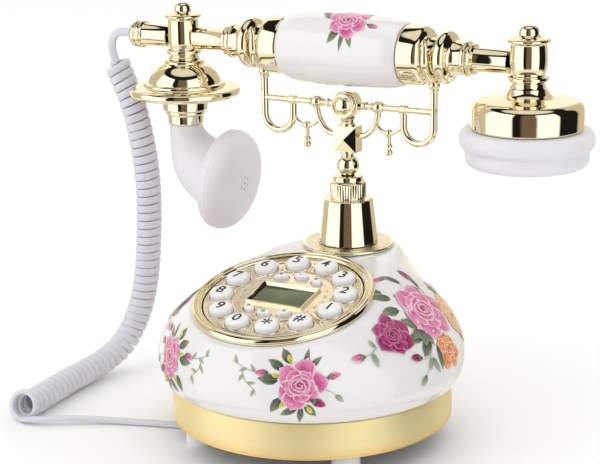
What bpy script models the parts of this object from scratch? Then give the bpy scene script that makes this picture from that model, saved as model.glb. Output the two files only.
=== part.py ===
"""Retro push-button telephone: round base, column with a cradle, and a lift-off handset.

The origin is on the floor, under the middle of the base. +Z is up, the dial faces -Y, and the
handset lies along X. Lengths below are in millimetres, and MM turns them into metres.
"""

import math

import bmesh
import bpy
from mathutils import Vector

MM = 0.001
GAP = 0.3
WELD = 0.00002

# Sides of round pieces, by size
LARGE = 32
MEDIUM = 16
SMALL = 12
TINY = 8

# Base
FOOT_HEIGHT = 12.0
FOOT_RADIUS = 7.0
FOOT_CIRCLE = 58.0
BAND_RADIUS = 70.0
BAND_HEIGHT = 18.6
BAND_WALL = 1.6
PLATE_THICKNESS = 2.0
BAND_TOP = FOOT_HEIGHT + BAND_HEIGHT
PLATE_LOW = FOOT_HEIGHT + GAP
PLATE_TOP = PLATE_LOW + PLATE_THICKNESS

# Body shell
BULGE_RADIUS = 76.5
BULGE_Z = 43.0
BODY_TOP = 88.0
BODY_WALL = 2.5
BODY_SIDES = 32

# Dial: positions on it are (u, v, w), with u along +X, v up the slope and w out of the face
DIAL_Y = -27.8
DIAL_Z = 80.6
DIAL_TILT = math.radians(12.8)
KEY_CIRCLE = 31.0
KEY_RADIUS = 5.9
FUNCTION_CIRCLE = 18.8
FUNCTION_STEP = 31.0
FUNCTION_RADIUS = 2.2
FUNCTION_STRETCH = 1.7
HOLE_CLEARANCE = 0.35
BODY_UNDER_DIAL = -4.0
BEZEL_RADIUS = 44.6
FACE_RADIUS = 39.2
FACE_TOP = -2.0
FACE_LOW = -3.5
WINDOW = (31.0, 20.0)

# Column and cradle
COLUMN_Y = 39.8
FLANGE_RADIUS = 23.3
FLANGE_TOP = 90.0
POST_RADIUS = 3.0
BALL_RADIUS = 5.75
BALL_Z = 129.6
BLOCK = (13.0, 7.0, 13.3)
BLOCK_PEAK = 1.1
BLOCK_Z = 143.5
BAR_Z = 160.8
BAR_RADIUS = 1.3
HUB_RADIUS = 7.0
HUB_DEPTH = 7.0
BEAD_X = 17.4
BEAD_RADIUS = 3.3
COLLAR_X = 31.4
LOOP_RADIUS = 8.3
SADDLE_X = COLLAR_X + 2 * LOOP_RADIUS
LOOP_LOW_Z = 152.6
LOOP_WIRE = 1.65
SADDLE_BALL_Z = 174.4
BRACE_END_X = 6.9
BRACE_DROP = 14.6
DROP_X = 23.3
DROP_Z = 148.2
STEM_FOOT_Z = 62.0

# Handset
HANDSET_Z = 188.5
NECK_RADIUS = 9.3
SADDLE_WIRE = 1.9
SADDLE_RADIUS = NECK_RADIUS + 0.4 + SADDLE_WIRE
SADDLE_TIP_Z = 196.8
GRIP_HALF = 33.2
GRIP_BORE = 12.8
POST_X = 97.0
LEFT_BARREL = 8.0
RIGHT_BARREL = 9.1
ROD_RADIUS = 5.7
WIRE_BORE = 3.0
HANDSET_LEFT = -128.7
POST_LOW_Z = 177.3
HORN_TOP_Z = 142.6
HORN_INNER = [(8.6, 142.6), (8.8, 138.5), (14.5, 135.0), (22.6, 134.0)]
HORN_OUTER = [(-8.6, 142.6), (-8.6, 118.0), (-3.0, 106.0), (18.0, 96.9)]
HORN_WALL = 1.8
HORN_RIM = 0.8
HORN_SIDES = 14
HORN_SECTIONS = 6
EAR_SEAM_Z = 157.3

# Inside the base
RINGER_AT = (25.0, -20.0)

# Sockets and cord
JACK = (-42.0, -22.5)
LINE_JACK_Y = -6.0
PLUG = (6.6, 7.7)
CORD_RADIUS = 1.6
COIL_RADIUS = 7.0

LEAD_ROUTE = [
    (-129.0, 39.8, 188.5),
    (-133.5, 39.8, 189.0),
    (-138.5, 39.9, 188.4),
    (-142.0, 40.0, 185.4),
    (-143.2, 40.1, 181.0),
    (-142.8, 40.2, 177.2),
    (-141.8, 40.3, 173.8),
]
COIL_ROUTE = [
    (-141.6, 40.4, 173.3),
    (-137.6, 41.0, 163.5),
    (-133.0, 42.0, 151.5),
    (-129.8, 43.0, 138.0),
    (-127.3, 44.0, 121.0),
    (-126.4, 45.0, 104.0),
    (-127.0, 45.6, 87.0),
    (-128.2, 46.0, 72.0),
    (-129.6, 46.0, 58.0),
    (-131.6, 44.5, 43.0),
    (-134.5, 41.0, 29.0),
    (-138.0, 33.0, 16.5),
    (-141.5, 22.0, 10.0),
    (-143.2, 8.0, 7.6),
    (-143.0, -10.0, 7.4),
    (-141.5, -28.0, 7.4),
    (-140.0, -44.0, 7.4),
    (-139.5, -57.0, 7.4),
]
TAIL_ROUTE = [
    (-141.0, -59.0, 2.0),
    (-135.0, -59.6, 2.6),
    (-127.5, -57.6, 3.2),
    (-119.0, -52.6, 3.4),
    (-109.0, -46.2, 2.9),
    (-98.0, -40.2, 2.2),
    (-87.0, -35.9, 1.8),
    (-76.0, -32.4, 1.8),
    (-66.0, -29.5, 1.8),
    (-57.0, -26.9, 1.9),
    (-50.0, -24.8, 2.8),
    (-45.4, -23.5, 5.0),
    (-43.0, -22.8, 8.4),
    (-42.0, -22.5, 12.7),
]


# ---------------------------------------------------------------- helpers


def clear_scene():
    for item in list(bpy.data.objects):
        bpy.data.objects.remove(item, do_unlink=True)


def make_collection(name):
    found = bpy.data.collections.get(name)
    if found is None:
        found = bpy.data.collections.new(name)
        bpy.context.scene.collection.children.link(found)
    return found


def make_material(name, colour, roughness, metallic=0.0):
    material = bpy.data.materials.new(name)
    material.use_nodes = True
    shader = material.node_tree.nodes["Principled BSDF"]
    shader.inputs["Base Color"].default_value = (*colour, 1.0)
    shader.inputs["Roughness"].default_value = roughness
    shader.inputs["Metallic"].default_value = metallic
    return material


def place(name, data, material=None, parent=None, at=(0, 0, 0), turn=None):
    """Make an object of a mesh or curve, in the parts' collection, at a place in millimetres."""
    item = bpy.data.objects.new(name, data)
    PARTS.objects.link(item)
    if material is not None and not data.materials:
        data.materials.append(material)
    item.parent = parent
    item.location = Vector(at) * MM
    if turn is not None:
        item.rotation_euler = turn
    return item


def guide(item):
    """Put a cutter or a shape to be joined aside, out of the finished parts."""
    for collection in list(item.users_collection):
        collection.objects.unlink(item)
    CUTTERS.objects.link(item)
    item.hide_render = True
    item.display_type = "WIRE"
    return item


def empty(name, at, turn=None, parent=None):
    return place(name, None, parent=parent, at=at, turn=turn)


def profile_mesh(name, profile, closed):
    """The outline of a turned piece: (radius, height) pairs down its outer side."""
    points = [(radius * MM, 0.0, height * MM) for radius, height in profile]
    edges = [(i, i + 1) for i in range(len(points) - 1)]
    if closed:
        edges.append((len(points) - 1, 0))
    mesh = bpy.data.meshes.new(name)
    mesh.from_pydata(points, edges, [])
    return mesh


def turned(name, profile, steps, material=None, parent=None, at=(0, 0, 0), turn=None, closed=False):
    """A piece turned about its own Z axis. A closed profile has a bore through it."""
    item = place(name, profile_mesh(name, profile, closed), material, parent, at, turn)
    spin = item.modifiers.new("turn", "SCREW")
    spin.steps = steps
    spin.render_steps = steps
    spin.use_merge_vertices = True
    spin.merge_threshold = WELD
    spin.use_smooth_shade = True
    return item


def box_mesh(name, size, at=(0, 0, 0)):
    bm = bmesh.new()
    bmesh.ops.create_cube(bm, size=1.0)
    bmesh.ops.scale(bm, vec=Vector(size) * MM, verts=bm.verts)
    bmesh.ops.translate(bm, vec=Vector(at) * MM, verts=bm.verts)
    mesh = bpy.data.meshes.new(name)
    bm.to_mesh(mesh)
    bm.free()
    return mesh


def box(name, size, material=None, parent=None, at=(0, 0, 0), turn=None):
    return place(name, box_mesh(name, size), material, parent, at, turn)


def rod(name, radius, low, high, sides, material=None, parent=None, at=(0, 0, 0), turn=None):
    """A plain disc or pin along its own Z axis, from low to high."""
    bm = bmesh.new()
    bmesh.ops.create_cone(
        bm,
        cap_ends=True,
        segments=sides,
        radius1=radius * MM,
        radius2=radius * MM,
        depth=(high - low) * MM,
    )
    bmesh.ops.translate(bm, vec=(0, 0, (high + low) / 2 * MM), verts=bm.verts)
    mesh = bpy.data.meshes.new(name)
    bm.to_mesh(mesh)
    bm.free()
    mesh.shade_smooth()
    mesh.set_sharp_from_angle(angle=math.radians(40))
    return place(name, mesh, material, parent, at, turn)


def tube(name, points, radius, material=None, parent=None, roundness=2):
    """A wire or cord along points in millimetres, with closed ends."""
    curve = bpy.data.curves.new(name, "CURVE")
    curve.dimensions = "3D"
    curve.bevel_depth = radius * MM
    curve.bevel_resolution = roundness
    curve.use_fill_caps = True
    spline = curve.splines.new("POLY")
    spline.points.add(len(points) - 1)
    for place_on, point in zip(spline.points, points):
        place_on.co = (*(Vector(point) * MM), 1.0)
    return place(name, curve, material, parent)


def smooth_route(points, step):
    """Points about one step apart on a Catmull-Rom curve through the given ones."""
    knots = [Vector(point) for point in points]
    knots = [2 * knots[0] - knots[1], *knots, 2 * knots[-1] - knots[-2]]
    route = [knots[1]]
    for before, start, end, after in zip(knots, knots[1:], knots[2:], knots[3:]):
        count = max(1, round((end - start).length / step))
        for i in range(1, count + 1):
            t = i / count
            bend = 2 * before - 5 * start + 4 * end - after
            twist = 3 * start - before - 3 * end + after
            route.append((2 * start + (end - before) * t + bend * t * t + twist * t**3) / 2)
    return route


def solid(item):
    """Swap a curve or a modified mesh for its final, welded mesh, and keep its place and name."""
    bpy.context.view_layer.update()
    depsgraph = bpy.context.evaluated_depsgraph_get()
    mesh = bpy.data.meshes.new_from_object(item.evaluated_get(depsgraph))
    bm = bmesh.new()
    bm.from_mesh(mesh)
    bmesh.ops.remove_doubles(bm, verts=bm.verts, dist=WELD)
    bm.to_mesh(mesh)
    bm.free()
    name = item.name
    matrix = item.matrix_world.copy()
    bpy.data.objects.remove(item, do_unlink=True)
    item = place(name, mesh)
    item.matrix_world = matrix
    return item


def join(item, other, operation="UNION"):
    """Join another shape to the item, or cut it away, with a Boolean modifier."""
    if other.type == "CURVE":
        other = solid(other)
    guide(other)
    step = item.modifiers.new(operation.lower(), "BOOLEAN")
    step.operation = operation
    step.solver = "EXACT"
    step.object = other
    return item


def cut(item, other):
    return join(item, other, "DIFFERENCE")


def ball_profile(radius, height, neck, count=8):
    """A turned ball's side, from the neck above it to the neck below it."""
    first = math.asin(neck / radius)
    angles = [first + (math.pi - 2 * first) * i / count for i in range(count + 1)]
    return [(radius * math.sin(a), height + radius * math.cos(a)) for a in angles]


ALONG_X = (0, math.radians(90), 0)
ALONG_Y = Vector((0, 1, 0))


# ---------------------------------------------------------------- base


def outline_reach(angle):
    """How far the top of the body reaches at a bearing: the hull of the dial and the flange."""
    seat = BEZEL_RADIUS + 1.4
    front_y = DIAL_Y - BODY_UNDER_DIAL * -math.sin(DIAL_TILT)
    reach = BULGE_RADIUS
    for i in range(-70, 71):
        normal = angle + math.radians(i)
        nx = math.cos(normal)
        ny = math.sin(normal)
        front = front_y * ny + math.hypot(seat * nx, seat * math.cos(DIAL_TILT) * ny)
        rear = COLUMN_Y * ny + FLANGE_RADIUS + 2.2
        reach = min(reach, max(front, rear) / math.cos(math.radians(i)))
    return reach


def top_height(y):
    """The body's top: the dial's seat, which slopes up to a level table under the column."""
    seat_y = DIAL_Y - BODY_UNDER_DIAL * math.sin(DIAL_TILT)
    seat_z = DIAL_Z + BODY_UNDER_DIAL * math.cos(DIAL_TILT)
    return min(BODY_TOP, seat_z + (y - seat_y) * math.tan(DIAL_TILT))


def bezier(points, t):
    while len(points) > 1:
        points = [a.lerp(b, t) for a, b in zip(points, points[1:])]
    return points[0]


def body_section(angle):
    """The body's side at one bearing, from the seam up to the middle of its top."""
    out = Vector((math.cos(angle), math.sin(angle), 0))
    up = Vector((0, 0, 1))
    seam = out * (BAND_RADIUS + 0.2) + up * (BAND_TOP + GAP)
    bulge = out * BULGE_RADIUS + up * BULGE_Z
    low_handles = [out * 74.5 + up * (BAND_TOP + 1.2), out * BULGE_RADIUS + up * (BAND_TOP + 5.5)]
    points = [bezier([seam, *low_handles, bulge], t) for t in (0, 0.4, 0.75, 1)]
    edge = out * outline_reach(angle)
    edge += up * top_height(edge.y)
    shoulder = bulge + up * 0.45 * (edge.z - bulge.z)
    handle = edge.lerp(shoulder, 0.4)
    points += [bezier([bulge, shoulder, handle, edge], t) for t in (0.25, 0.5, 0.75, 0.93)]
    inner = edge - out * 3.0
    inner.z = top_height(inner.y)
    points.append(bezier([points[-1], edge, inner], 0.5))
    for share in (1.0, 0.62, 0.3):
        point = inner * share
        point.z = top_height(point.y)
        points.append(point)
    return points


def make_body():
    """The shell is a loft from a round seam, over a round bulge, to the egg-shaped top."""
    sections = [body_section(2 * math.pi * i / BODY_SIDES) for i in range(BODY_SIDES)]
    bm = bmesh.new()
    rows = [[bm.verts.new(point * MM) for point in section] for section in sections]
    middle = bm.verts.new((0, 0, top_height(0.0) * MM))
    for row, following in zip(rows, rows[1:] + rows[:1]):
        for i in range(len(row) - 1):
            bm.faces.new((row[i], following[i], following[i + 1], row[i + 1]))
        bm.faces.new((row[-1], following[-1], middle))
    mesh = bpy.data.meshes.new("body_shell")
    bm.to_mesh(mesh)
    bm.free()
    mesh.shade_smooth()
    body = place("body_shell", mesh, PORCELAIN, BASE)
    wall = body.modifiers.new("wall", "SOLIDIFY")
    wall.thickness = BODY_WALL * MM
    wall.offset = -1
    cut(body, rod("dial_opening", FACE_RADIUS + 1.8, -30, 20, LARGE, parent=DIAL))
    cut(body, rod("column_opening", 6.0, 70, 100, SMALL, at=(0, COLUMN_Y, 0)))


def make_base():
    band_top = BAND_TOP
    inner = BAND_RADIUS - BAND_WALL
    band = [
        (BAND_RADIUS, band_top),
        (BAND_RADIUS, FOOT_HEIGHT + 1.2),
        (BAND_RADIUS - 0.8, FOOT_HEIGHT),
        (inner, FOOT_HEIGHT),
        (inner, band_top),
    ]
    turned("base_band", band, LARGE, SATIN_GOLD, BASE, closed=True)
    plate = rod("base_plate", inner - 0.6, PLATE_LOW, PLATE_TOP, LARGE, DARK_PLASTIC, BASE)
    low, high = PLATE_LOW - 5, PLATE_TOP + 5
    middle = (low + high) / 2
    depth = high - low
    cut(plate, box("plug_hole", (9.0, 10.0, depth), at=(*JACK, middle)))
    cut(plate, box("line_hole", (13.0, 8.4, depth), at=(JACK[0], LINE_JACK_Y, middle)))
    for i in range(5):
        at = (RINGER_AT[0] + 5.0 * (i - 2), RINGER_AT[1], middle)
        cut(plate, box(f"sound_slot_{i + 1}", (2.0, 16.0, depth), at=at))
    foot = [(0, FOOT_HEIGHT), (6.7, FOOT_HEIGHT), (FOOT_RADIUS, 1.2), (6.3, 0), (0, 0)]
    for i in range(4):
        angle = math.radians(45 + 90 * i)
        at = (FOOT_CIRCLE * math.cos(angle), FOOT_CIRCLE * math.sin(angle), 0)
        turned(f"foot_{i + 1}", foot, SMALL, WHITE_PLASTIC, BASE, at=at)


def make_electronics():
    box("main_board", (70.0, 50.0, 1.6), BOARD, BASE, at=(12.0, -8.0, 30.8))
    low = PLATE_TOP + GAP
    ringer = [(0, 22.0), (5.0, 22.0), (5.4, 18.6), (13.6, 17.6), (14.0, low), (0, low)]
    turned("ringer_speaker", ringer, SMALL, DARK_PLASTIC, BASE, at=(*RINGER_AT, 0))
    high = 27.6
    middle_y = (JACK[1] + LINE_JACK_Y) / 2
    at = (JACK[0], middle_y, (low + high) / 2)
    block = box("jack_block", (18.0, 31.0, high - low), DARK_PLASTIC, BASE, at=at)
    cut(block, box("plug_socket", (PLUG[0] + 0.6, PLUG[1] + 0.6, 18.0), at=(*JACK, 14.6)))
    cut(block, box("line_socket", (11.8, 6.8, 18.0), at=(JACK[0], LINE_JACK_Y, 14.6)))
    high = STEM_FOOT_Z - GAP
    size = (16.0, 13.0, high - low)
    box("hook_switch", size, DARK_PLASTIC, BASE, at=(0, COLUMN_Y, (low + high) / 2))
    spring = []
    coils = 4
    turn = 8
    for i in range(coils * turn + 1):
        angle = 2 * math.pi * i / turn
        height = STEM_FOOT_Z + 0.7 + 9.6 * i / (coils * turn)
        spring.append((4.5 * math.cos(angle), COLUMN_Y + 4.5 * math.sin(angle), height))
    tube("hook_spring", spring, 0.5, STEEL, BASE, roundness=1)


# ---------------------------------------------------------------- dial


def on_dial(radius, degrees, w=0.0):
    angle = math.radians(degrees)
    return (radius * math.cos(angle), radius * math.sin(angle), w)


def function_angles():
    return [side + FUNCTION_STEP * i for side in (90, 270) for i in (1, 0, -1)]


def key_angle(number):
    """Key 1 is at the lower right, and the rest follow anticlockwise, 30 degrees apart."""
    return -15 + 30 * number


KEY_NAMES = ["1", "2", "3", "4", "5", "6", "7", "8", "9", "0", "star", "hash"]


def make_dial():
    bezel = [
        (42.0, -0.4),
        (43.8, -0.7),
        (BEZEL_RADIUS, -1.8),
        (BEZEL_RADIUS, BODY_UNDER_DIAL + GAP),
        (FACE_RADIUS + GAP, BODY_UNDER_DIAL + GAP),
        (FACE_RADIUS + GAP, -1.8),
        (40.6, -1.5),
        (41.0, -0.7),
    ]
    turned("dial_bezel", bezel, LARGE, GOLD, DIAL, closed=True)
    face = rod("dial_face", FACE_RADIUS, FACE_LOW, FACE_TOP, LARGE, PALE_GOLD, DIAL)
    hole = KEY_RADIUS + HOLE_CLEARANCE
    for i, name in enumerate(KEY_NAMES):
        at = on_dial(KEY_CIRCLE, key_angle(i))
        cut(face, rod(f"hole_{name}", hole, -8, 4, SMALL, parent=DIAL, at=at))
    slot_radius = FUNCTION_RADIUS + HOLE_CLEARANCE
    for i, degrees in enumerate(function_angles()):
        at = on_dial(FUNCTION_CIRCLE, degrees)
        turn = (0, 0, math.radians(degrees - 90))
        slot = rod(f"slot_{i + 1}", slot_radius, -8, 4, TINY, None, DIAL, at, turn)
        slot.scale.x = (FUNCTION_RADIUS * FUNCTION_STRETCH + HOLE_CLEARANCE) / slot_radius
        cut(face, slot)
    cut(face, box("window_hole", (*WINDOW, 12.0), parent=DIAL))
    at = on_dial(KEY_CIRCLE, -30, FACE_TOP + 0.4)
    join(face, box("stop_bar", (10.0, 2.0, 1.6), None, DIAL, at, (0, 0, math.radians(-36))))
    size = (WINDOW[0] - 2 * GAP, WINDOW[1] - 2 * GAP, 1.0)
    box("display_lens", size, LENS, DIAL, at=(0, 0, FACE_LOW + 0.6))
    box("display_panel", (34.0, 23.0, 2.2), DARK_PLASTIC, DIAL, at=(0, 0, FACE_LOW - 1.5))
    rod("key_mat", FACE_RADIUS - 1.2, -9.3, -7.8, MEDIUM, RUBBER, DIAL)
    rod("keypad_board", FACE_RADIUS - 0.7, -11.2, -9.6, MEDIUM, BOARD, DIAL)


def make_keys():
    key = [(0, 1.5), (3.2, 1.25), (5.0, 0.6), (5.8, -0.5), (KEY_RADIUS, -4.1)]
    key += [(6.8, -4.1), (6.8, -6), (0, -6)]
    for i, name in enumerate(KEY_NAMES):
        at = on_dial(KEY_CIRCLE, key_angle(i))
        turned(f"key_{name}", key, TINY, WHITE_PLASTIC, DIAL, at=at)
    small = [(0, -0.5), (1.4, -0.7), (2.1, -1.4), (FUNCTION_RADIUS, -4.1)]
    small += [(2.9, -4.1), (2.9, -6), (0, -6)]
    for i, degrees in enumerate(function_angles()):
        at = on_dial(FUNCTION_CIRCLE, degrees)
        turn = (0, 0, math.radians(degrees - 90))
        pad = turned(f"function_key_{i + 1}", small, TINY, WHITE_PLASTIC, DIAL, at=at, turn=turn)
        pad.scale.x = FUNCTION_STRETCH


# ---------------------------------------------------------------- column and cradle


def make_column():
    flange = [
        (22.9, FLANGE_TOP),
        (FLANGE_RADIUS, FLANGE_TOP - 0.4),
        (FLANGE_RADIUS, BODY_TOP + 0.7),
        (22.9, BODY_TOP + GAP),
        (6.0, BODY_TOP + GAP),
        (6.0, FLANGE_TOP),
    ]
    turned("column_flange", flange, MEDIUM, GOLD, BASE, at=(0, COLUMN_Y, 0), closed=True)
    cone = [
        (7.3, 124.5),
        (7.7, 124.1),
        (7.7, 121.9),
        (9.2, 121.4),
        (9.2, 113.6),
        (12.0, 112.9),
        (12.7, 111.6),
        (15.2, FLANGE_TOP + GAP),
        (13.4, FLANGE_TOP + GAP),
        (10.8, 110.8),
        (7.4, 112.0),
        (7.4, 119.4),
        (POST_RADIUS + 0.6, 120.2),
        (POST_RADIUS + 0.6, 124.5),
    ]
    turned("column_cone", cone, MEDIUM, GOLD, BASE, at=(0, COLUMN_Y, 0), closed=True)


def faceted_block(name):
    """The block on the post, with its front and back drawn out into low pyramids."""
    bm = bmesh.new()
    bm.from_mesh(box_mesh(name, BLOCK, at=(0, 0, BLOCK_Z)))
    fronts = [face for face in bm.faces if abs(face.normal.y) > 0.5]
    bmesh.ops.poke(bm, faces=fronts, offset=BLOCK_PEAK * MM)
    mesh = bpy.data.meshes.new(name)
    bm.to_mesh(mesh)
    bm.free()
    return place(name, mesh, parent=CRADLE)


def make_post():
    block_low = BLOCK_Z - BLOCK[2] / 2
    profile = [
        (0, BAR_Z - HUB_RADIUS - GAP),
        (POST_RADIUS, BAR_Z - HUB_RADIUS - GAP),
        (POST_RADIUS, block_low - 1.0),
        *ball_profile(BALL_RADIUS, BALL_Z, POST_RADIUS),
        (POST_RADIUS, 76.0),
        (5.2, 75.4),
        (5.2, 73.6),
        (POST_RADIUS, 73.2),
        (POST_RADIUS, STEM_FOOT_Z + 0.6),
        (2.4, STEM_FOOT_Z),
        (0, STEM_FOOT_Z),
    ]
    post = turned("cradle_post", profile, SMALL, GOLD, CRADLE)
    join(post, faceted_block("post_block"))
    dome = [(0, 4.3), (3.0, 4.0), (4.8, 3.1), (5.4, 2.2), (6.3, 2.0), (6.4, 0.9), (6.2, 0), (0, 0)]
    at = (0, -HUB_DEPTH / 2 - GAP, BAR_Z)
    turned("cradle_medallion", dome, SMALL, GOLD, CRADLE, at=at, turn=(math.radians(90), 0, 0))


def arc(centre, radius, start, end, count, plane="XZ"):
    """Points on an arc, in the plane of the cradle's frame or across it."""
    points = []
    for i in range(count + 1):
        angle = math.radians(start + (end - start) * i / count)
        along = radius[0] * math.cos(angle)
        up = radius[1] * math.sin(angle)
        if plane == "XZ":
            points.append((centre[0] + along, centre[1], centre[2] + up))
        else:
            points.append((centre[0], centre[1] + along, centre[2] + up))
    return points


def make_cradle_frame():
    """One casting: its +X half is joined from its members, and a mirror makes the other half."""
    low = (COLLAR_X + LOOP_RADIUS, 0, LOOP_LOW_Z)
    loop = [(COLLAR_X, 0, BAR_Z)]
    loop += arc(low, (LOOP_RADIUS, LOOP_RADIUS), 180, 360, 7)
    loop += [(SADDLE_X, 0, SADDLE_BALL_Z)]
    frame = solid(tube("cradle_frame", loop, LOOP_WIRE, GOLD, CRADLE, roundness=1))

    bar = [(0, SADDLE_X), (BAR_RADIUS, SADDLE_X)]
    bar += [(BAR_RADIUS, COLLAR_X + 2.6), (2.3, COLLAR_X + 2.0), (2.3, COLLAR_X - 2.0)]
    bar += [(BAR_RADIUS, COLLAR_X - 2.6)]
    bead = ball_profile(BEAD_RADIUS, 0, BAR_RADIUS, 5)
    bar += [(radius, BEAD_X + along) for radius, along in bead]
    bar += [(BAR_RADIUS, 11.0), (2.3, 10.2), (1.8, 8.0), (2.2, 5.0), (2.2, -5.0), (0, -5.0)]
    join(frame, turned("half_bar", bar, TINY, None, CRADLE, (0, 0, BAR_Z), ALONG_X))
    upright = (math.radians(90), 0, 0)
    half_depth = HUB_DEPTH / 2
    hub = rod("hub", HUB_RADIUS, -half_depth, half_depth, MEDIUM, None, CRADLE, (0, 0, BAR_Z), upright)
    join(frame, hub)

    saddle = [(SADDLE_X, -SADDLE_RADIUS, SADDLE_TIP_Z)]
    radii = (SADDLE_RADIUS, SADDLE_RADIUS)
    saddle += arc((SADDLE_X, 0, HANDSET_Z), radii, 180, 360, 8, "YZ")
    saddle += [(SADDLE_X, SADDLE_RADIUS, SADDLE_TIP_Z)]
    join(frame, tube("half_saddle", saddle, SADDLE_WIRE, None, CRADLE, roundness=1))
    ball = [(0, 3.0), *ball_profile(3.0, 0, 0.8, 5), (0, -3.0)]
    join(frame, turned("saddle_ball", ball, TINY, None, CRADLE, (SADDLE_X, 0, SADDLE_BALL_Z)))

    reach = BEAD_X - BRACE_END_X
    top = (BRACE_END_X, 0, BAR_Z - 1.0)
    brace = arc(top, (reach, BRACE_DROP), 0, -90, 6)
    join(frame, tube("brace", brace, 1.3, None, CRADLE, roundness=1))
    yoke = arc((DROP_X, 0, DROP_Z + 6.0), (7.4, 6.0), -5, -175, 6)
    join(frame, tube("yoke", yoke, 0.9, None, CRADLE, roundness=1))
    drop = [(0, DROP_Z + 1.9), *ball_profile(1.9, DROP_Z, 1.0, 5)]
    drop += [(1.0, DROP_Z - 5.6), (1.5, DROP_Z - 6.0), (1.5, DROP_Z - 7.0), (0.9, DROP_Z - 7.4)]
    drop += ball_profile(1.8, DROP_Z - 10.0, 0.9, 5)
    drop += [(0, DROP_Z - 11.8)]
    join(frame, turned("drop", drop, 8, None, CRADLE, (DROP_X, 0, 0)))

    mirror = frame.modifiers.new("other_half", "MIRROR")
    mirror.use_axis = (True, False, False)
    mirror.use_bisect_axis = (True, False, False)
    mirror.merge_threshold = WELD


# ---------------------------------------------------------------- handset


def make_grip():
    side = [(15.0, GRIP_HALF), (16.4, 30.4), (17.4, 25.0), (17.9, 14.0), (18.1, 0.0)]
    outer = side + [(radius, -along) for radius, along in reversed(side[:-1])]
    grip = outer + [(GRIP_BORE, -GRIP_HALF), (GRIP_BORE, GRIP_HALF)]
    at = (0, 0, HANDSET_Z)
    turned("grip", grip, MEDIUM, PORCELAIN, HANDSET, at, ALONG_X, closed=True)
    end = GRIP_HALF - 0.2
    core = [(9.0, end), (9.0, -end), (7.5, -end), (7.5, end)]
    turned("core_tube", core, TINY, STEEL, HANDSET, at, ALONG_X, closed=True)


def make_arms():
    for name, side, barrel in (("arm_left", -1, LEFT_BARREL), ("arm_right", 1, RIGHT_BARREL)):
        end = POST_X - barrel - GAP
        arm = [
            (ROD_RADIUS, end),
            (ROD_RADIUS, 70.0),
            (7.4, 69.6),
            (7.4, 68.0),
            (6.7, 67.5),
            (8.6, 66.6),
            (8.6, 65.0),
            (8.1, 64.6),
            (8.1, 60.8),
            (9.0, 58.9),
            (12.2, 56.8),
            (12.9, 54.8),
            (12.3, 52.6),
            (9.8, 51.2),
            (NECK_RADIUS, 50.6),
            (NECK_RADIUS, 46.0),
            (11.4, 45.4),
            (14.0, 43.2),
            (14.7, 41.0),
            (14.7, GRIP_HALF + GAP),
            (WIRE_BORE, GRIP_HALF + GAP),
            (WIRE_BORE, end),
        ]
        turn = (0, side * math.radians(90), 0)
        turned(name, arm, MEDIUM, GOLD, HANDSET, (0, 0, HANDSET_Z), turn, closed=True)
    tip = -HANDSET_LEFT
    cord_end = [
        (3.4, tip),
        (5.7, tip - 0.6),
        (6.9, tip - 2.0),
        (7.1, tip - 3.4),
        (6.5, tip - 4.4),
        (7.1, tip - 5.4),
        (7.1, tip - 7.2),
        (ROD_RADIUS, tip - 8.2),
        (ROD_RADIUS, POST_X + LEFT_BARREL + GAP),
        (1.9, POST_X + LEFT_BARREL + GAP),
        (1.9, tip),
    ]
    turn = (0, math.radians(-90), 0)
    turned("cord_end", cord_end, SMALL, GOLD, HANDSET, (0, 0, HANDSET_Z), turn, closed=True)


def make_posts():
    left = [
        (0, 207.0),
        (2.6, 206.7),
        (4.0, 205.6),
        (4.3, 204.0),
        (4.4, 202.6),
        (6.2, 201.4),
        (9.5, 200.1),
        (9.7, 199.0),
        (LEFT_BARREL, 198.4),
        (LEFT_BARREL, 185.0),
        (7.2, 182.6),
        (9.2, 182.0),
        (9.2, 180.0),
        (7.6, 179.2),
        (7.9, POST_LOW_Z),
        (0, POST_LOW_Z),
    ]
    right = [
        (0, 207.0),
        (2.9, 206.7),
        (4.5, 205.6),
        (4.9, 204.0),
        (5.0, 202.4),
        (7.0, 201.1),
        (10.3, 199.9),
        (10.4, 198.9),
        (8.7, 198.2),
        (RIGHT_BARREL, 193.0),
        (RIGHT_BARREL, 188.0),
        (8.0, 183.2),
        (9.8, 182.4),
        (9.8, 180.5),
        (8.2, 179.4),
        (8.9, POST_LOW_Z),
        (0, POST_LOW_Z),
    ]
    turned("post_left", left, SMALL, GOLD, HANDSET, (-POST_X, 0, 0))
    turned("post_right", right, SMALL, GOLD, HANDSET, (POST_X, 0, 0))


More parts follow.
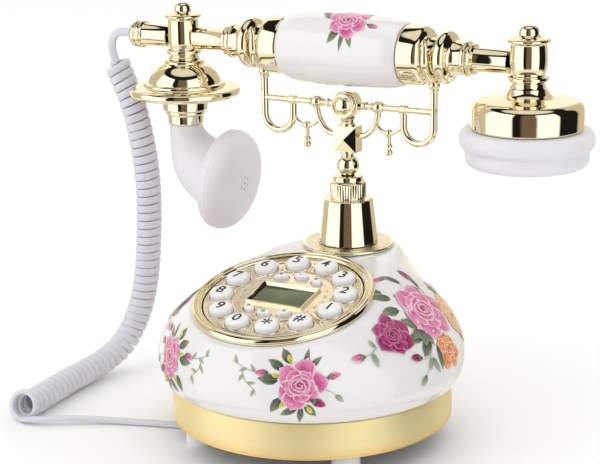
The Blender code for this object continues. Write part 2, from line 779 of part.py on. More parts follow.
def make_mouthpiece():
    top = POST_LOW_Z - GAP
    bell = [
        (10.6, top),
        (10.8, 175.4),
        (13.6, 173.8),
        (16.6, 170.8),
        (18.6, 167.2),
        (19.2, 165.0),
        (21.2, 164.9),
        (21.3, 163.0),
        (27.6, 162.5),
        (29.4, 161.0),
        (29.4, 159.2),
        (27.6, 157.7),
        (12.0, 156.4),
        (11.7, 149.9),
        (10.2, 149.3),
        (10.2, 147.8),
        (9.3, 147.2),
        (9.3, HORN_TOP_Z + GAP),
        (WIRE_BORE, HORN_TOP_Z + GAP),
        (WIRE_BORE, top),
    ]
    turned("mouthpiece_bell", bell, MEDIUM, GOLD, HANDSET, (-POST_X, 0, 0), closed=True)
    cap = [
        (0, 14.6),
        (10.0, 14.0),
        (18.0, 12.6),
        (23.4, 10.9),
        (25.9, 8.6),
        (26.5, 5.8),
        (26.5, 2.2),
        (25.2, 0.7),
        (19.4, GAP),
        (16.8, GAP),
        (16.8, 2.2),
        (24.0, 3.0),
        (24.0, 7.6),
        (21.4, 9.2),
        (0, 12.6),
    ]
    mouth, across = horn_section(1.0)
    heading = ALONG_Y.cross(across).normalized()
    at = Vector((-POST_X, 0, 0)) + mouth + heading * HORN_RIM
    turn = (0, math.atan2(heading.x, heading.z), 0)
    turned("mouthpiece_cap", cap, MEDIUM, WHITE_PLASTIC, HANDSET, at, turn)
    rod("microphone", 11.0, 3.5, 9.0, SMALL, DARK_PLASTIC, HANDSET, at, turn)


def horn_section(t):
    """The centre of a ring of the horn, and the way from there to its inner outline."""
    inner = bezier([Vector((x, 0, z)) for x, z in HORN_INNER], t)
    outer = bezier([Vector((x, 0, z)) for x, z in HORN_OUTER], t)
    return (inner + outer) / 2, (inner - outer) / 2


def horn_ring(bm, centre, across):
    ring = []
    for i in range(HORN_SIDES):
        angle = 2 * math.pi * i / HORN_SIDES
        offset = across * math.cos(angle) + ALONG_Y * across.length * math.sin(angle)
        ring.append(bm.verts.new((centre + offset) * MM))
    return ring


def make_horn():
    """A loft of rings between two outlines, from the neck under the bell round to the mouth."""
    bm = bmesh.new()
    rows = []
    for i in range(HORN_SECTIONS + 1):
        centre, across = horn_section(i / HORN_SECTIONS)
        rows.append(horn_ring(bm, centre, across))
    rim = centre + ALONG_Y.cross(across).normalized() * HORN_RIM
    rows.append(horn_ring(bm, rim, across))
    for row, following in zip(rows, rows[1:]):
        for i in range(HORN_SIDES):
            j = (i + 1) % HORN_SIDES
            bm.faces.new((row[i], following[i], following[j], row[j]))
    bmesh.ops.recalc_face_normals(bm, faces=bm.faces)
    mesh = bpy.data.meshes.new("horn")
    bm.to_mesh(mesh)
    bm.free()
    mesh.shade_smooth()
    horn = place("horn", mesh, WHITE_PLASTIC, HANDSET, (-POST_X, 0, 0))
    wall = horn.modifiers.new("wall", "SOLIDIFY")
    wall.thickness = HORN_WALL * MM
    wall.offset = -1


def make_earpiece():
    top = POST_LOW_Z - GAP
    bell = [
        (9.2, top),
        (9.8, 175.0),
        (11.6, 173.2),
        (14.0, 172.0),
        (21.0, 171.3),
        (24.8, 170.3),
        (26.6, 168.5),
        (27.0, 166.4),
        (27.0, EAR_SEAM_Z + GAP),
        (25.0, EAR_SEAM_Z + GAP),
        (25.0, 165.8),
        (22.8, 168.0),
        (WIRE_BORE, 168.6),
        (WIRE_BORE, top),
    ]
    at = (POST_X, 0, 0)
    turned("earpiece_bell", bell, MEDIUM, GOLD, HANDSET, at, closed=True)
    cap = [
        (0, 144.4),
        (24.8, 143.8),
        (26.0, 146.0),
        (26.0, EAR_SEAM_Z),
        (30.2, EAR_SEAM_Z - 0.2),
        (32.0, 155.2),
        (32.5, 152.4),
        (32.1, 149.8),
        (30.6, 148.0),
        (29.7, 147.6),
        (29.7, 142.0),
        (28.4, 140.0),
        (24.8, 139.3),
        (19.5, 140.2),
        (0, 141.4),
    ]
    turned("earpiece_cap", cap, MEDIUM, WHITE_PLASTIC, HANDSET, at)
    rod("receiver", 22.0, 147.0, 154.0, SMALL, DARK_PLASTIC, HANDSET, at)


# ---------------------------------------------------------------- cord


def make_cord():
    tube("cord_lead", smooth_route(LEAD_ROUTE, 3.0), CORD_RADIUS, CORD_PLASTIC, BASE)
    tube("cord_coil", smooth_route(COIL_ROUTE, 11.0), COIL_RADIUS, CORD_PLASTIC, BASE)
    tube("cord_tail", smooth_route(TAIL_ROUTE, 6.0), CORD_RADIUS, CORD_PLASTIC, BASE)
    low = TAIL_ROUTE[-1][2] + GAP
    high = low + 9.0
    box("cord_plug", (*PLUG, high - low), CLEAR_PLASTIC, BASE, at=(*JACK, (low + high) / 2))


clear_scene()
PARTS = make_collection("telephone")
CUTTERS = make_collection("telephone_cutters")

GOLD = make_material("gold_plate", (0.86, 0.74, 0.47), 0.12, 1.0)
SATIN_GOLD = make_material("satin_gold", (0.83, 0.66, 0.33), 0.35, 1.0)
PALE_GOLD = make_material("pale_gold", (0.85, 0.76, 0.55), 0.4, 1.0)
STEEL = make_material("steel", (0.6, 0.6, 0.62), 0.3, 1.0)
PORCELAIN = make_material("white_gloss", (0.87, 0.86, 0.85), 0.12)
WHITE_PLASTIC = make_material("white_plastic", (0.88, 0.87, 0.89), 0.35)
CORD_PLASTIC = make_material("cord_white", (0.85, 0.85, 0.89), 0.45)
DARK_PLASTIC = make_material("dark_plastic", (0.05, 0.05, 0.05), 0.5)
CLEAR_PLASTIC = make_material("clear_plastic", (0.8, 0.8, 0.8), 0.15)
RUBBER = make_material("grey_rubber", (0.25, 0.25, 0.26), 0.7)
BOARD = make_material("circuit_board", (0.05, 0.25, 0.1), 0.5)
LENS = make_material("display_lens", (0.25, 0.29, 0.19), 0.1)

BASE = empty("base", (0, 0, 0))
DIAL = empty("dial", (0, DIAL_Y, DIAL_Z), turn=(DIAL_TILT, 0, 0), parent=BASE)
CRADLE = empty("cradle", (0, COLUMN_Y, 0), parent=BASE)
HANDSET = empty("handset", (0, COLUMN_Y, 0), parent=BASE)

make_body()
make_base()
make_electronics()
make_dial()
make_keys()
make_column()
make_post()
make_cradle_frame()
make_grip()
make_arms()
make_posts()
make_mouthpiece()
make_horn()
make_earpiece()
make_cord()
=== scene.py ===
"""Looks of the retro push-button telephone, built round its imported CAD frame.

Lengths are in millimetres unless a comment says otherwise, and MM turns them into metres.
+Z is up, the dial faces -Y, and the handset lies along X with its mouthpiece at -X.
"""

import math
import random
from math import cos, pi, radians, sin

import bmesh
import bpy
from mathutils import Euler, Matrix, Vector, noise
from mathutils.bvhtree import BVHTree


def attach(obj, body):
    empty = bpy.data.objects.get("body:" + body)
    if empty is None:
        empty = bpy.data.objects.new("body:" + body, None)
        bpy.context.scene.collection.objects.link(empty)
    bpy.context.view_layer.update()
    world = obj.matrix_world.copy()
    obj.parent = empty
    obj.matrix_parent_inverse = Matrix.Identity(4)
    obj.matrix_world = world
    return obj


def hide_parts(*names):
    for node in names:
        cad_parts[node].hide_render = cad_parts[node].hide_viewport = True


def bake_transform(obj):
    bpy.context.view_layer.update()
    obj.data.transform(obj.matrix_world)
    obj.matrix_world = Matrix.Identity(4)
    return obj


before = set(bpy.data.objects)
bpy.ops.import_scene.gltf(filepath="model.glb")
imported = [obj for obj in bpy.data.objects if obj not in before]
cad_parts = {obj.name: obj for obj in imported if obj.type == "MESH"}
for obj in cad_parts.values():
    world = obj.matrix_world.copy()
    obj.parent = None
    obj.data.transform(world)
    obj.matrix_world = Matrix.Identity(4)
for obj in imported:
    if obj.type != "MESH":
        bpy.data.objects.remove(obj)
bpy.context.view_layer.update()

MM = 0.001
ROUND = 96
FINE = 48
HERE = Matrix.Identity(4)
UP = Vector((0, 0, 1))

# ---- places, as in the CAD model

BAND_RADIUS = 70.0
BAND_LOW = 12.0
BAND_TOP = 30.6
BODY_LOW = 30.9
BULGE_RADIUS = 76.5
BULGE_Z = 43.0
BODY_TOP = 88.0
BODY_WALL = 2.5
DIAL_Y = -27.8
DIAL_Z = 80.6
DIAL_TILT = radians(12.8)
BODY_UNDER_DIAL = -4.0
BEZEL_RADIUS = 44.6
FACE_RADIUS = 39.2
FACE_TOP = -2.0
FACE_LOW = -3.5
KEY_CIRCLE = 31.0
FUNCTION_CIRCLE = 18.8
FUNCTION_STRETCH = 1.7
COLUMN_Y = 39.8
FLANGE_RADIUS = 23.3
BAR_Z = 160.8
EAR_SEAM_Z = 157.3
SADDLE_X = 48.0
HANDSET_Z = 188.5
POST_X = 97.0
LEFT_BARREL = 8.0
RIGHT_BARREL = 9.1
GAP = 0.3

DIAL = Matrix.Translation((0, DIAL_Y, DIAL_Z)) @ Matrix.Rotation(DIAL_TILT, 4, "X")
COLUMN = Matrix.Translation((0, COLUMN_Y, 0))
ALONG_X = Matrix.Rotation(pi / 2, 4, "Y")
AXIS = Matrix.Translation((0, COLUMN_Y, HANDSET_Z)) @ ALONG_X
LEFT = Matrix.Translation((-POST_X, COLUMN_Y, 0))
RIGHT = Matrix.Translation((POST_X, COLUMN_Y, 0))


# ---- scene and mesh helpers


def add(name, data):
    """A new object, linked into the scene."""
    item = bpy.data.objects.new(name, data)
    bpy.context.scene.collection.objects.link(item)
    return item


def make_camera():
    """The camera stands off a target, a little to the right of the dial and above it."""
    azimuth, elevation, roll = radians(29.78), radians(15.04), radians(-0.84)
    target = Vector((-45.8, 70.1, 81.7))
    distance = 970.9
    flat = cos(elevation)
    back = Vector((sin(azimuth) * flat, -cos(azimuth) * flat, sin(elevation)))
    data = bpy.data.cameras.new("camera")
    data.lens = 108.03
    data.sensor_width = 36.0
    camera = add("camera", data)
    camera.location = (target + back * distance) * MM
    turn = back.to_track_quat("Z", "Y").to_matrix() @ Matrix.Rotation(roll, 3, "Z")
    camera.rotation_euler = turn.to_euler()
    bpy.context.scene.camera = camera


def finish_mesh(name, bm, sharp=38):
    bmesh.ops.recalc_face_normals(bm, faces=bm.faces)
    mesh = bpy.data.meshes.new(name)
    bm.to_mesh(mesh)
    bm.free()
    mesh.shade_smooth()
    mesh.set_sharp_from_angle(angle=radians(sharp))
    return mesh


def place(name, mesh, material, body, stands_for=None, matrix=HERE):
    """Put a mesh at a place given in millimetres, on its body, in the stead of a CAD node."""
    if isinstance(mesh, bmesh.types.BMesh):
        mesh = finish_mesh(name, mesh)
    item = add(name, mesh)
    mesh.materials.clear()
    mesh.materials.append(material)
    matrix = matrix.copy()
    matrix.translation = matrix.translation * MM
    item.matrix_world = matrix
    if body is not None:
        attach(item, body)
    if stands_for is not None:
        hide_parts(stands_for)
    return item


def turned(name, profile, material, body, stands_for=None, matrix=HERE, sides=ROUND, ring=True):
    """Place a piece turned from a profile, which is closed if the piece is a ring."""
    shape = lathe(rounded(profile, closed=ring), sides, closed=ring)
    return place(name, shape, material, body, stands_for, matrix)


def rounded(points, closed=False, steps=5):
    """Round the corners of a profile where a point gives a third number, the corner's reach."""
    out = []
    count = len(points)
    for i, (radius, height, *reach) in enumerate(points):
        here = Vector((radius, height))
        if not reach or not (closed or 0 < i < count - 1):
            out.append((radius, height))
            continue
        before = Vector(points[i - 1][:2]) - here
        after = Vector(points[(i + 1) % count][:2]) - here
        size = min(reach[0], 0.48 * before.length, 0.48 * after.length)
        start = here + before.normalized() * size
        end = here + after.normalized() * size
        for k in range(steps + 1):
            t = k / steps
            point = start.lerp(here, t).lerp(here.lerp(end, t), t)
            out.append((point.x, point.y))
    return out


def flowing(points, steps=6):
    """A smooth profile through the points given, by Catmull-Rom."""
    return [(point.x, point.y) for point in smooth_route([(*p, 0.0) for p in points], steps=steps)]


def bead(radius, height, start, sweep_by, steps):
    """The round side of a bead in a turned profile, by angles in degrees down from its top."""
    angles = [radians(start + sweep_by * i / steps) for i in range(steps + 1)]
    return [(radius * sin(a), height + radius * cos(a)) for a in angles]


def smooth_route(points, step=None, steps=None):
    """Points on a Catmull-Rom curve through the given ones, a step apart or so many to a span."""
    knots = [Vector(point) for point in points]
    knots = [2 * knots[0] - knots[1], *knots, 2 * knots[-1] - knots[-2]]
    route = [knots[1]]
    for before, start, end, after in zip(knots, knots[1:], knots[2:], knots[3:]):
        count = steps or max(1, round((end - start).length / step))
        for i in range(1, count + 1):
            t = i / count
            bend = 2 * before - 5 * start + 4 * end - after
            twist = 3 * start - before - 3 * end + after
            route.append((2 * start + (end - before) * t + bend * t * t + twist * t**3) / 2)
    return route


def bezier(points, t):
    while len(points) > 1:
        points = [a.lerp(b, t) for a, b in zip(points, points[1:])]
    return points[0]


def skin(bm, rings):
    """Faces from each ring of corners to the next. A ring with one corner is a tip."""
    for a, b in zip(rings, rings[1:]):
        count = max(len(a), len(b))
        for i in range(count):
            j = (i + 1) % count
            corners = [a[i % len(a)], b[i % len(b)], b[j % len(b)], a[j % len(a)]]
            corners = list(dict.fromkeys(corners))
            if len(corners) > 2:
                bm.faces.new(corners)
    return bm


def lathe(profile, sides=ROUND, closed=False, ripple=None):
    """Turn a profile of (radius, height) pairs about Z. ripple(height, angle) adds to the radius."""
    bm = bmesh.new()
    rings = []
    for radius, height in profile:
        ring = []
        for i in range(sides if radius > 1e-6 else 1):
            angle = 2 * pi * i / sides
            reach = radius + (ripple(height, angle) if ripple else 0.0)
            ring.append(bm.verts.new(Vector((reach * cos(angle), reach * sin(angle), height)) * MM))
        rings.append(ring)
    return skin(bm, rings + rings[:1] if closed else rings)


def plug(radius, top, low, sides=ROUND):
    """A plain cylinder, to cut a hole with."""
    return lathe([(0, top), (radius, top), (radius, low), (0, low)], sides)


def circle(radius, sides=16, stretch=1.0):
    """A round or oval section for sweep()."""
    angles = [2 * pi * i / sides for i in range(sides)]
    return [(radius * cos(a), radius * stretch * sin(a)) for a in angles]


def sweep(bm, points, section, outward=None, swell=None):
    """Carry a section along points. outward gives its first axis at each, and swell its size."""
    points = [Vector(point) for point in points]
    last = len(points) - 1
    normal = None
    rings = []
    for i, point in enumerate(points):
        heading = (points[min(i + 1, last)] - points[max(i - 1, 0)]).normalized()
        if outward is not None:
            normal = Vector(outward[i])
        elif normal is None:
            normal = heading.orthogonal()
        normal = (normal - heading * normal.dot(heading)).normalized()
        side = heading.cross(normal)
        size = swell(i / last) if swell else 1.0
        ring = [(point + (normal * a + side * b) * size) * MM for a, b in section]
        rings.append([bm.verts.new(corner) for corner in ring])
    skin(bm, rings)
    bm.faces.new(rings[0])
    bm.faces.new(list(reversed(rings[-1])))
    return bm


def merge(bm, other, matrix=HERE):
    """Add another bmesh to this one at a place in millimetres."""
    matrix = matrix.copy()
    matrix.translation = matrix.translation * MM
    bmesh.ops.transform(other, matrix=matrix, verts=other.verts)
    bmesh.ops.recalc_face_normals(other, faces=other.faces)
    mesh = bpy.data.meshes.new("merged")
    other.to_mesh(mesh)
    other.free()
    bm.from_mesh(mesh)
    bpy.data.meshes.remove(mesh)
    return bm


def ball(radius, height=0.0, sides=24, steps=12):
    return lathe(bead(radius, height, 0, 180, steps), sides)


def slab(size, bevel=0.3, at=(0, 0, 0), segments=3):
    """A block with rounded edges."""
    bm = bmesh.new()
    bmesh.ops.create_cube(bm, size=1.0)
    bmesh.ops.scale(bm, vec=Vector(size) * MM, verts=bm.verts)
    bmesh.ops.translate(bm, vec=Vector(at) * MM, verts=bm.verts)
    edges = bm.edges[:]
    bmesh.ops.bevel(bm, geom=edges, offset=bevel * MM, segments=segments, profile=0.5, affect="EDGES")
    return bm


def moved(x=0.0, y=0.0, z=0.0, turn=(0, 0, 0)):
    return Matrix.Translation((x, y, z)) @ Euler([radians(a) for a in turn]).to_matrix().to_4x4()


def spun(degrees, axis="Z"):
    return Matrix.Rotation(radians(degrees), 4, axis)


def polar(radius, degrees):
    return (radius * cos(radians(degrees)), radius * sin(radians(degrees)), 0)


def at_polar(radius, degrees):
    return Matrix.Translation(polar(radius, degrees))


def turns(count):
    """Angles once round a ring, back to the start."""
    return [2 * pi * i / count for i in range(count + 1)]


def ring_of(radius, count, centre=Vector((0, 0, 0))):
    return [centre + Vector((radius * cos(a), radius * sin(a), 0)) for a in turns(count)]


def final_mesh(item):
    """An object's mesh after its modifiers, or a curve's as a mesh."""
    bpy.context.view_layer.update()
    graph = bpy.context.evaluated_depsgraph_get()
    return bpy.data.meshes.new_from_object(item.evaluated_get(graph))


def carved(name, bm, cutters, wall=None):
    """Cut shapes out of a mesh, after giving it a wall if one is asked for."""
    item = add(name, finish_mesh(name, bm))
    if wall is not None:
        shell = item.modifiers.new("wall", "SOLIDIFY")
        shell.thickness = wall * MM
        shell.offset = -1
    tools = []
    for cutter in cutters:
        tool = add("cutter", finish_mesh("cutter", cutter))
        cut = item.modifiers.new("cut", "BOOLEAN")
        cut.operation = "DIFFERENCE"
        cut.solver = "EXACT"
        cut.object = tool
        tools.append(tool)
    mesh = final_mesh(item)
    for tool in [item, *tools]:
        bpy.data.objects.remove(tool, do_unlink=True)
    mesh.name = name
    mesh.shade_smooth()
    mesh.set_sharp_from_angle(angle=radians(38))
    return mesh


# ---- materials


def feed(item, inputs):
    """Give inputs of a shader node a number, a colour or another node's output."""
    for key, value in inputs.items():
        if isinstance(value, bpy.types.NodeSocket):
            item.id_data.links.new(value, item.inputs[key])
        else:
            item.inputs[key].default_value = value


def node(tree, kind, inputs, **settings):
    """Add a shader node and return its outputs."""
    item = tree.nodes.new("ShaderNode" + kind)
    for key, value in settings.items():
        setattr(item, key, value)
    feed(item, inputs)
    return item.outputs


def clouds(tree, where, size, detail):
    """Noise with patches of about a size in millimetres."""
    inputs = {"Vector": where, "Scale": 1 / (size * MM), "Detail": detail}
    return node(tree, "TexNoise", inputs)["Fac"]


def spread(tree, value, low, high, to_low=0.0, to_high=1.0):
    """Map a value from one range to another."""
    inputs = {"Value": value, "From Min": low, "From Max": high, "To Min": to_low, "To Max": to_high}
    return node(tree, "MapRange", inputs)["Result"]


def relief(tree, height, strength, depth):
    """A bump of a depth in millimetres."""
    inputs = {"Height": height, "Strength": strength, "Distance": depth * MM}
    return node(tree, "Bump", inputs)["Normal"]


def ramp_of(tree, source, stops):
    """A colour ramp fed by a socket, with a colour at each position."""
    ramp = tree.nodes.new("ShaderNodeValToRGB")
    elements = ramp.color_ramp.elements
    while len(elements) < len(stops):
        elements.new(0.5)
    for element, (position, colour) in zip(elements, stops):
        element.position = position
        element.color = (*colour, 1)
    feed(ramp, {"Fac": source})
    return ramp.outputs["Color"]


def blend_of(tree, factor, first, second):
    """A mix of two colours, each a socket or plain numbers."""
    first, second = [(*c, 1) if isinstance(c, tuple) else c for c in (first, second)]
    inputs = {"Factor": factor, "A": first, "B": second}
    return node(tree, "Mix", inputs, data_type="RGBA")["Result"]


def new_material(name):
    material = bpy.data.materials.new(name)
    material.use_nodes = True
    tree = material.node_tree
    return material, tree, node(tree, "TexCoord", {})["Object"]


def surface(
    name, colour, roughness, metallic=0.0, drift=0.05, drift_size=14.0,
    uneven=0.15, grain=0.0, grain_size=0.8, coat=0.0,
):
    """A finish whose colour drifts slightly, whose gloss is uneven, and which may have a grain."""
    material, tree, where = new_material(name)
    darker = [c * (1 - drift) for c in colour]
    tint = ramp_of(tree, clouds(tree, where, drift_size, 4.0), ((0.32, darker), (0.62, colour)))
    smudges = clouds(tree, where, drift_size * 0.4, 5.0)
    gloss = spread(tree, smudges, 0.3, 0.7, roughness * (1 - uneven), roughness * (1 + uneven))
    finish = {"Base Color": tint, "Roughness": gloss, "Metallic": metallic}
    finish |= {"Coat Weight": coat, "Coat Roughness": 0.04}
    if grain:
        grains = node(tree, "TexVoronoi", {"Vector": where, "Scale": 1 / (grain_size * MM)})
        finish["Normal"] = relief(tree, grains["Distance"], 1.0, grain)
    feed(tree.nodes["Principled BSDF"], finish)
    return material


def satin_band_material():
    """Satin gold for the band: fine lines round it, and a warmer tone towards its lower edge."""
    material = surface("satin_gold", (0.93, 0.80, 0.44), 0.42, 0.55, drift=0.05, drift_size=30.0)
    tree = material.node_tree
    where = node(tree, "TexCoord", {})["Object"]
    height = node(tree, "SeparateXYZ", {"Vector": where})["Z"]
    fade = spread(tree, height, BAND_LOW * MM, (BAND_LOW + 6) * MM)
    tint = blend_of(tree, fade, (0.88, 0.64, 0.26), tree.nodes["Color Ramp"].outputs["Color"])
    stretched = node(tree, "Mapping", {"Vector": where, "Scale": (0.02, 0.02, 1.0)})["Vector"]
    lines = relief(tree, clouds(tree, stretched, 0.25, 3.0), 0.35, 0.03)
    feed(tree.nodes["Principled BSDF"], {"Base Color": tint, "Normal": lines})
    return material


def paint_material():
    """Transfer-printed paint: the patches' own colours, fine streaks, and the glaze over them."""
    material, tree, where = new_material("rose_paint")
    paint = node(tree, "Attribute", {}, attribute_name="paint")["Color"]
    tone = spread(tree, clouds(tree, where, 2 / 3, 4.0), 0.3, 0.7, 0.88, 1.08)
    shade = node(tree, "VectorMath", {0: paint, "Scale": tone}, operation="SCALE")["Vector"]
    finish = {"Base Color": shade, "Roughness": 0.35, "Coat Weight": 0.6, "Coat Roughness": 0.06}
    feed(tree.nodes["Principled BSDF"], finish)
    return material


GOLD = surface("gold_plate", (0.96, 0.89, 0.70), 0.05, 1.0, 0.04, 20.0, uneven=0.3)
GRAINY_GOLD = surface("grainy_gold", (0.95, 0.86, 0.66), 0.24, 1.0, 0.15, 2.0, grain=0.16, grain_size=0.7)
DIAL_GOLD = surface("dial_gold", (0.98, 0.90, 0.76), 0.2, 1.0, 0.08, 3.0, grain=0.03)
SATIN_GOLD = satin_band_material()
PORCELAIN = surface("white_glaze", (0.79, 0.775, 0.765), 0.16, 0.0, 0.02, 30.0, coat=0.5)
KEY_WHITE = surface("key_white", (0.82, 0.815, 0.80), 0.28, 0.0, 0.02, 5.0, coat=0.2)
CAP_WHITE = surface("cap_white", (0.75, 0.74, 0.77), 0.33, 0.0, 0.02, 12.0, grain=0.01, grain_size=0.4)
FOOT_WHITE = surface("foot_rubber", (0.80, 0.80, 0.81), 0.6, 0.0, 0.05, 4.0, grain=0.03, grain_size=0.5)
CORD_WHITE = surface("cord_white", (0.66, 0.66, 0.71), 0.38, 0.0, 0.03, 6.0, grain=0.01, grain_size=0.5)
INK = surface("black_ink", (0.02, 0.02, 0.022), 0.5, 0.0, 0.1, 1.0)
LCD_GREEN = surface("display_glass", (0.085, 0.115, 0.05), 0.2, 0.0, 0.15, 25.0, coat=0.2)
DARK = surface("dark_plastic", (0.04, 0.04, 0.042), 0.5, 0.0, 0.15, 6.0, grain=0.03, grain_size=0.4)
STEEL = surface("steel", (0.6, 0.6, 0.62), 0.3, 1.0, 0.1, 3.0)
BOARD = surface("circuit_board", (0.03, 0.16, 0.06), 0.4, 0.0, 0.3, 3.0, grain=0.05, grain_size=1.5)
GREY_RUBBER = surface("key_mat_rubber", (0.3, 0.3, 0.31), 0.7, 0.0, 0.1, 3.0)
CLEAR = surface("clear_plastic", (0.75, 0.76, 0.78), 0.12, 0.0, 0.05, 3.0, coat=0.5)
PAINT = paint_material()


# ---- cord

LEAD_ROUTE = [
    (-129.0, 39.8, 188.5), (-133.5, 39.8, 189.0), (-138.5, 39.9, 188.4), (-142.0, 40.0, 185.4),
    (-143.2, 40.1, 181.0), (-142.8, 40.2, 177.2), (-141.8, 40.3, 173.8),
]
COIL_ROUTE = [
    (-141.6, 40.4, 173.3), (-137.6, 41.0, 163.5), (-133.0, 42.0, 151.5), (-129.8, 43.0, 138.0),
    (-127.3, 44.0, 121.0), (-126.4, 45.0, 104.0), (-127.0, 45.6, 87.0), (-128.2, 46.0, 72.0),
    (-129.6, 46.0, 58.0), (-131.6, 44.5, 43.0), (-134.5, 41.0, 29.0), (-138.0, 33.0, 16.5),
    (-141.5, 22.0, 10.0), (-143.2, 8.0, 7.6), (-143.0, -10.0, 7.4), (-141.5, -28.0, 7.4),
    (-140.0, -44.0, 7.4), (-139.5, -51.0, 7.5), (-139.4, -57.0, 8.8),
]
TAIL_ROUTE = [
    (-135.0, -59.6, 2.6), (-127.5, -57.6, 3.2), (-119.0, -52.6, 3.4), (-109.0, -46.2, 2.9),
    (-98.0, -40.2, 2.2), (-87.0, -35.9, 1.8), (-76.0, -32.4, 1.8), (-66.0, -29.5, 1.8),
    (-57.0, -26.9, 1.9), (-50.0, -24.8, 2.8), (-45.4, -23.5, 5.0), (-43.0, -22.8, 8.4),
    (-42.0, -22.5, 12.7),
]
CORD_WIDTH = 4.3
CORD_THICKNESS = 2.6
COIL_RADIUS = 7.0
COIL_PITCH = 4.6
COIL_STEPS = 20
FIRST_TURN = 0.8
LAST_TURNS = 1.6
LAST_WIDER = 0.24
CORD_STEP = 1.2


def helix(route):
    """The curly stretch: points and outward directions of a helix wound round a smooth line."""
    line = smooth_route(route, step=0.6)
    headings = [(b - a).normalized() for a, b in zip(line, line[1:])]
    headings.append(headings[-1])
    ups = [UP]
    for heading in reversed(headings[:-1]):
        up = ups[-1] - heading * ups[-1].dot(heading)
        ups.append(up.normalized())
    ups.reverse()
    run = [0.0]
    for a, b in zip(line, line[1:]):
        run.append(run[-1] + (b - a).length)
    total = run[-1]
    count = round(total / COIL_PITCH * COIL_STEPS)
    radius = COIL_RADIUS - CORD_THICKNESS / 2
    points = []
    outward = []
    k = 0
    for i in range(count + 1):
        along = total * i / count
        while k < len(run) - 2 and run[k + 1] < along:
            k += 1
        share = (along - run[k]) / (run[k + 1] - run[k])
        centre = line[k].lerp(line[k + 1], share)
        heading = headings[k].lerp(headings[min(k + 1, len(line) - 1)], share).normalized()
        up = ups[k].lerp(ups[k + 1], share)
        up = (up - heading * up.dot(heading)).normalized()
        phase = -pi / 2 + 2 * pi * (total - along) / COIL_PITCH
        away = heading.cross(up) * cos(phase) + up * sin(phase)
        opening = min(1.0, along / (FIRST_TURN * COIL_PITCH))
        widening = max(0.0, 1 - (total - along) / (LAST_TURNS * COIL_PITCH))
        reach = radius * opening * opening * (3 - 2 * opening) * (1 + LAST_WIDER * widening)
        points.append(centre + away * reach)
        outward.append(away)
    return points, outward


def cord_section():
    """A flat section with round corners, thin along its first axis."""
    section = []
    for i in range(12):
        angle = 2 * pi * (i + 0.5) / 12
        halves = ((CORD_THICKNESS / 2, cos(angle)), (CORD_WIDTH / 2, sin(angle)))
        section.append([math.copysign(half * abs(turn) ** 0.6, turn) for half, turn in halves])
    return section


def make_cord():
    """One flat cord: the lead from the handset, the curly stretch, and the tail to its plug."""
    coil, coil_outward = helix(COIL_ROUTE)
    lead = smooth_route([*LEAD_ROUTE[:-1], coil[0]], step=CORD_STEP)[:-1]
    tail = smooth_route([coil[-3], coil[-1], *TAIL_ROUTE], step=CORD_STEP)
    joined = min(range(len(tail)), key=lambda i: (tail[i] - coil[-1]).length)
    tail = tail[joined + 1 :]
    path = lead + coil + tail
    turn = [min(1.0, i / 8) for i in range(len(lead))][::-1]
    lead_outward = [Vector((0, -1, 0)).lerp(coil_outward[0], 1 - t) for t in turn]
    across = Vector((-0.3, 0.95, 0.0))
    steps = [b - a for a, b in zip(tail, tail[1:])]
    outward = lead_outward + coil_outward + [across.cross(step) for step in steps + steps[-1:]]
    mesh = finish_mesh("curly_cord", sweep(bmesh.new(), path, cord_section(), outward), sharp=60)
    cord = place("curly_cord", mesh, CORD_WHITE, None)
    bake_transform(cord)
    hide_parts("cord_lead", "cord_coil", "cord_tail")


# ---- base


def outline_reach(angle):
    """How far the top of the body reaches at a bearing: the hull of the dial and the flange."""
    seat = BEZEL_RADIUS + 1.4
    front_y = DIAL_Y + BODY_UNDER_DIAL * sin(DIAL_TILT)
    reach = BULGE_RADIUS
    for i in range(-70, 71):
        normal = angle + radians(i)
        nx, ny = cos(normal), sin(normal)
        front = front_y * ny + math.hypot(seat * nx, seat * cos(DIAL_TILT) * ny)
        rear = COLUMN_Y * ny + FLANGE_RADIUS + 2.2
        reach = min(reach, max(front, rear) / cos(radians(i)))
    return reach


def top_height(y):
    """The body's top: the dial's seat, which slopes up to a level table under the column."""
    seat_y = DIAL_Y - BODY_UNDER_DIAL * sin(DIAL_TILT)
    seat_z = DIAL_Z + BODY_UNDER_DIAL * cos(DIAL_TILT)
    return min(BODY_TOP, seat_z + (y - seat_y) * math.tan(DIAL_TILT))


def body_section(angle):
    """The body's side at one bearing, from the seam up to the middle of its top."""
    out = Vector((cos(angle), sin(angle), 0))
    seam = out * (BAND_RADIUS + 0.2) + UP * BODY_LOW
    bulge = out * BULGE_RADIUS + UP * BULGE_Z
    low_handles = [out * 74.5 + UP * (BODY_LOW + 0.9), out * BULGE_RADIUS + UP * (BODY_LOW + 5.2)]
    points = [bezier([seam, *low_handles, bulge], i / 9) for i in range(10)]
    edge = out * outline_reach(angle)
    edge += UP * top_height(edge.y)
    shoulder = bulge + UP * 0.45 * (edge.z - bulge.z)
    handle = edge.lerp(shoulder, 0.4)
    points += [bezier([bulge, shoulder, handle, edge], 0.93 * i / 16) for i in range(1, 17)]
    inner = edge - out * 3.0
    inner.z = top_height(inner.y)
    turn = points[-1]
    points += [bezier([turn, edge, inner], i / 6) for i in range(1, 7)]
    for i in range(1, 7):
        point = inner * (1 - i / 7.5)
        point.z = top_height(point.y)
        points.append(point)
    return points


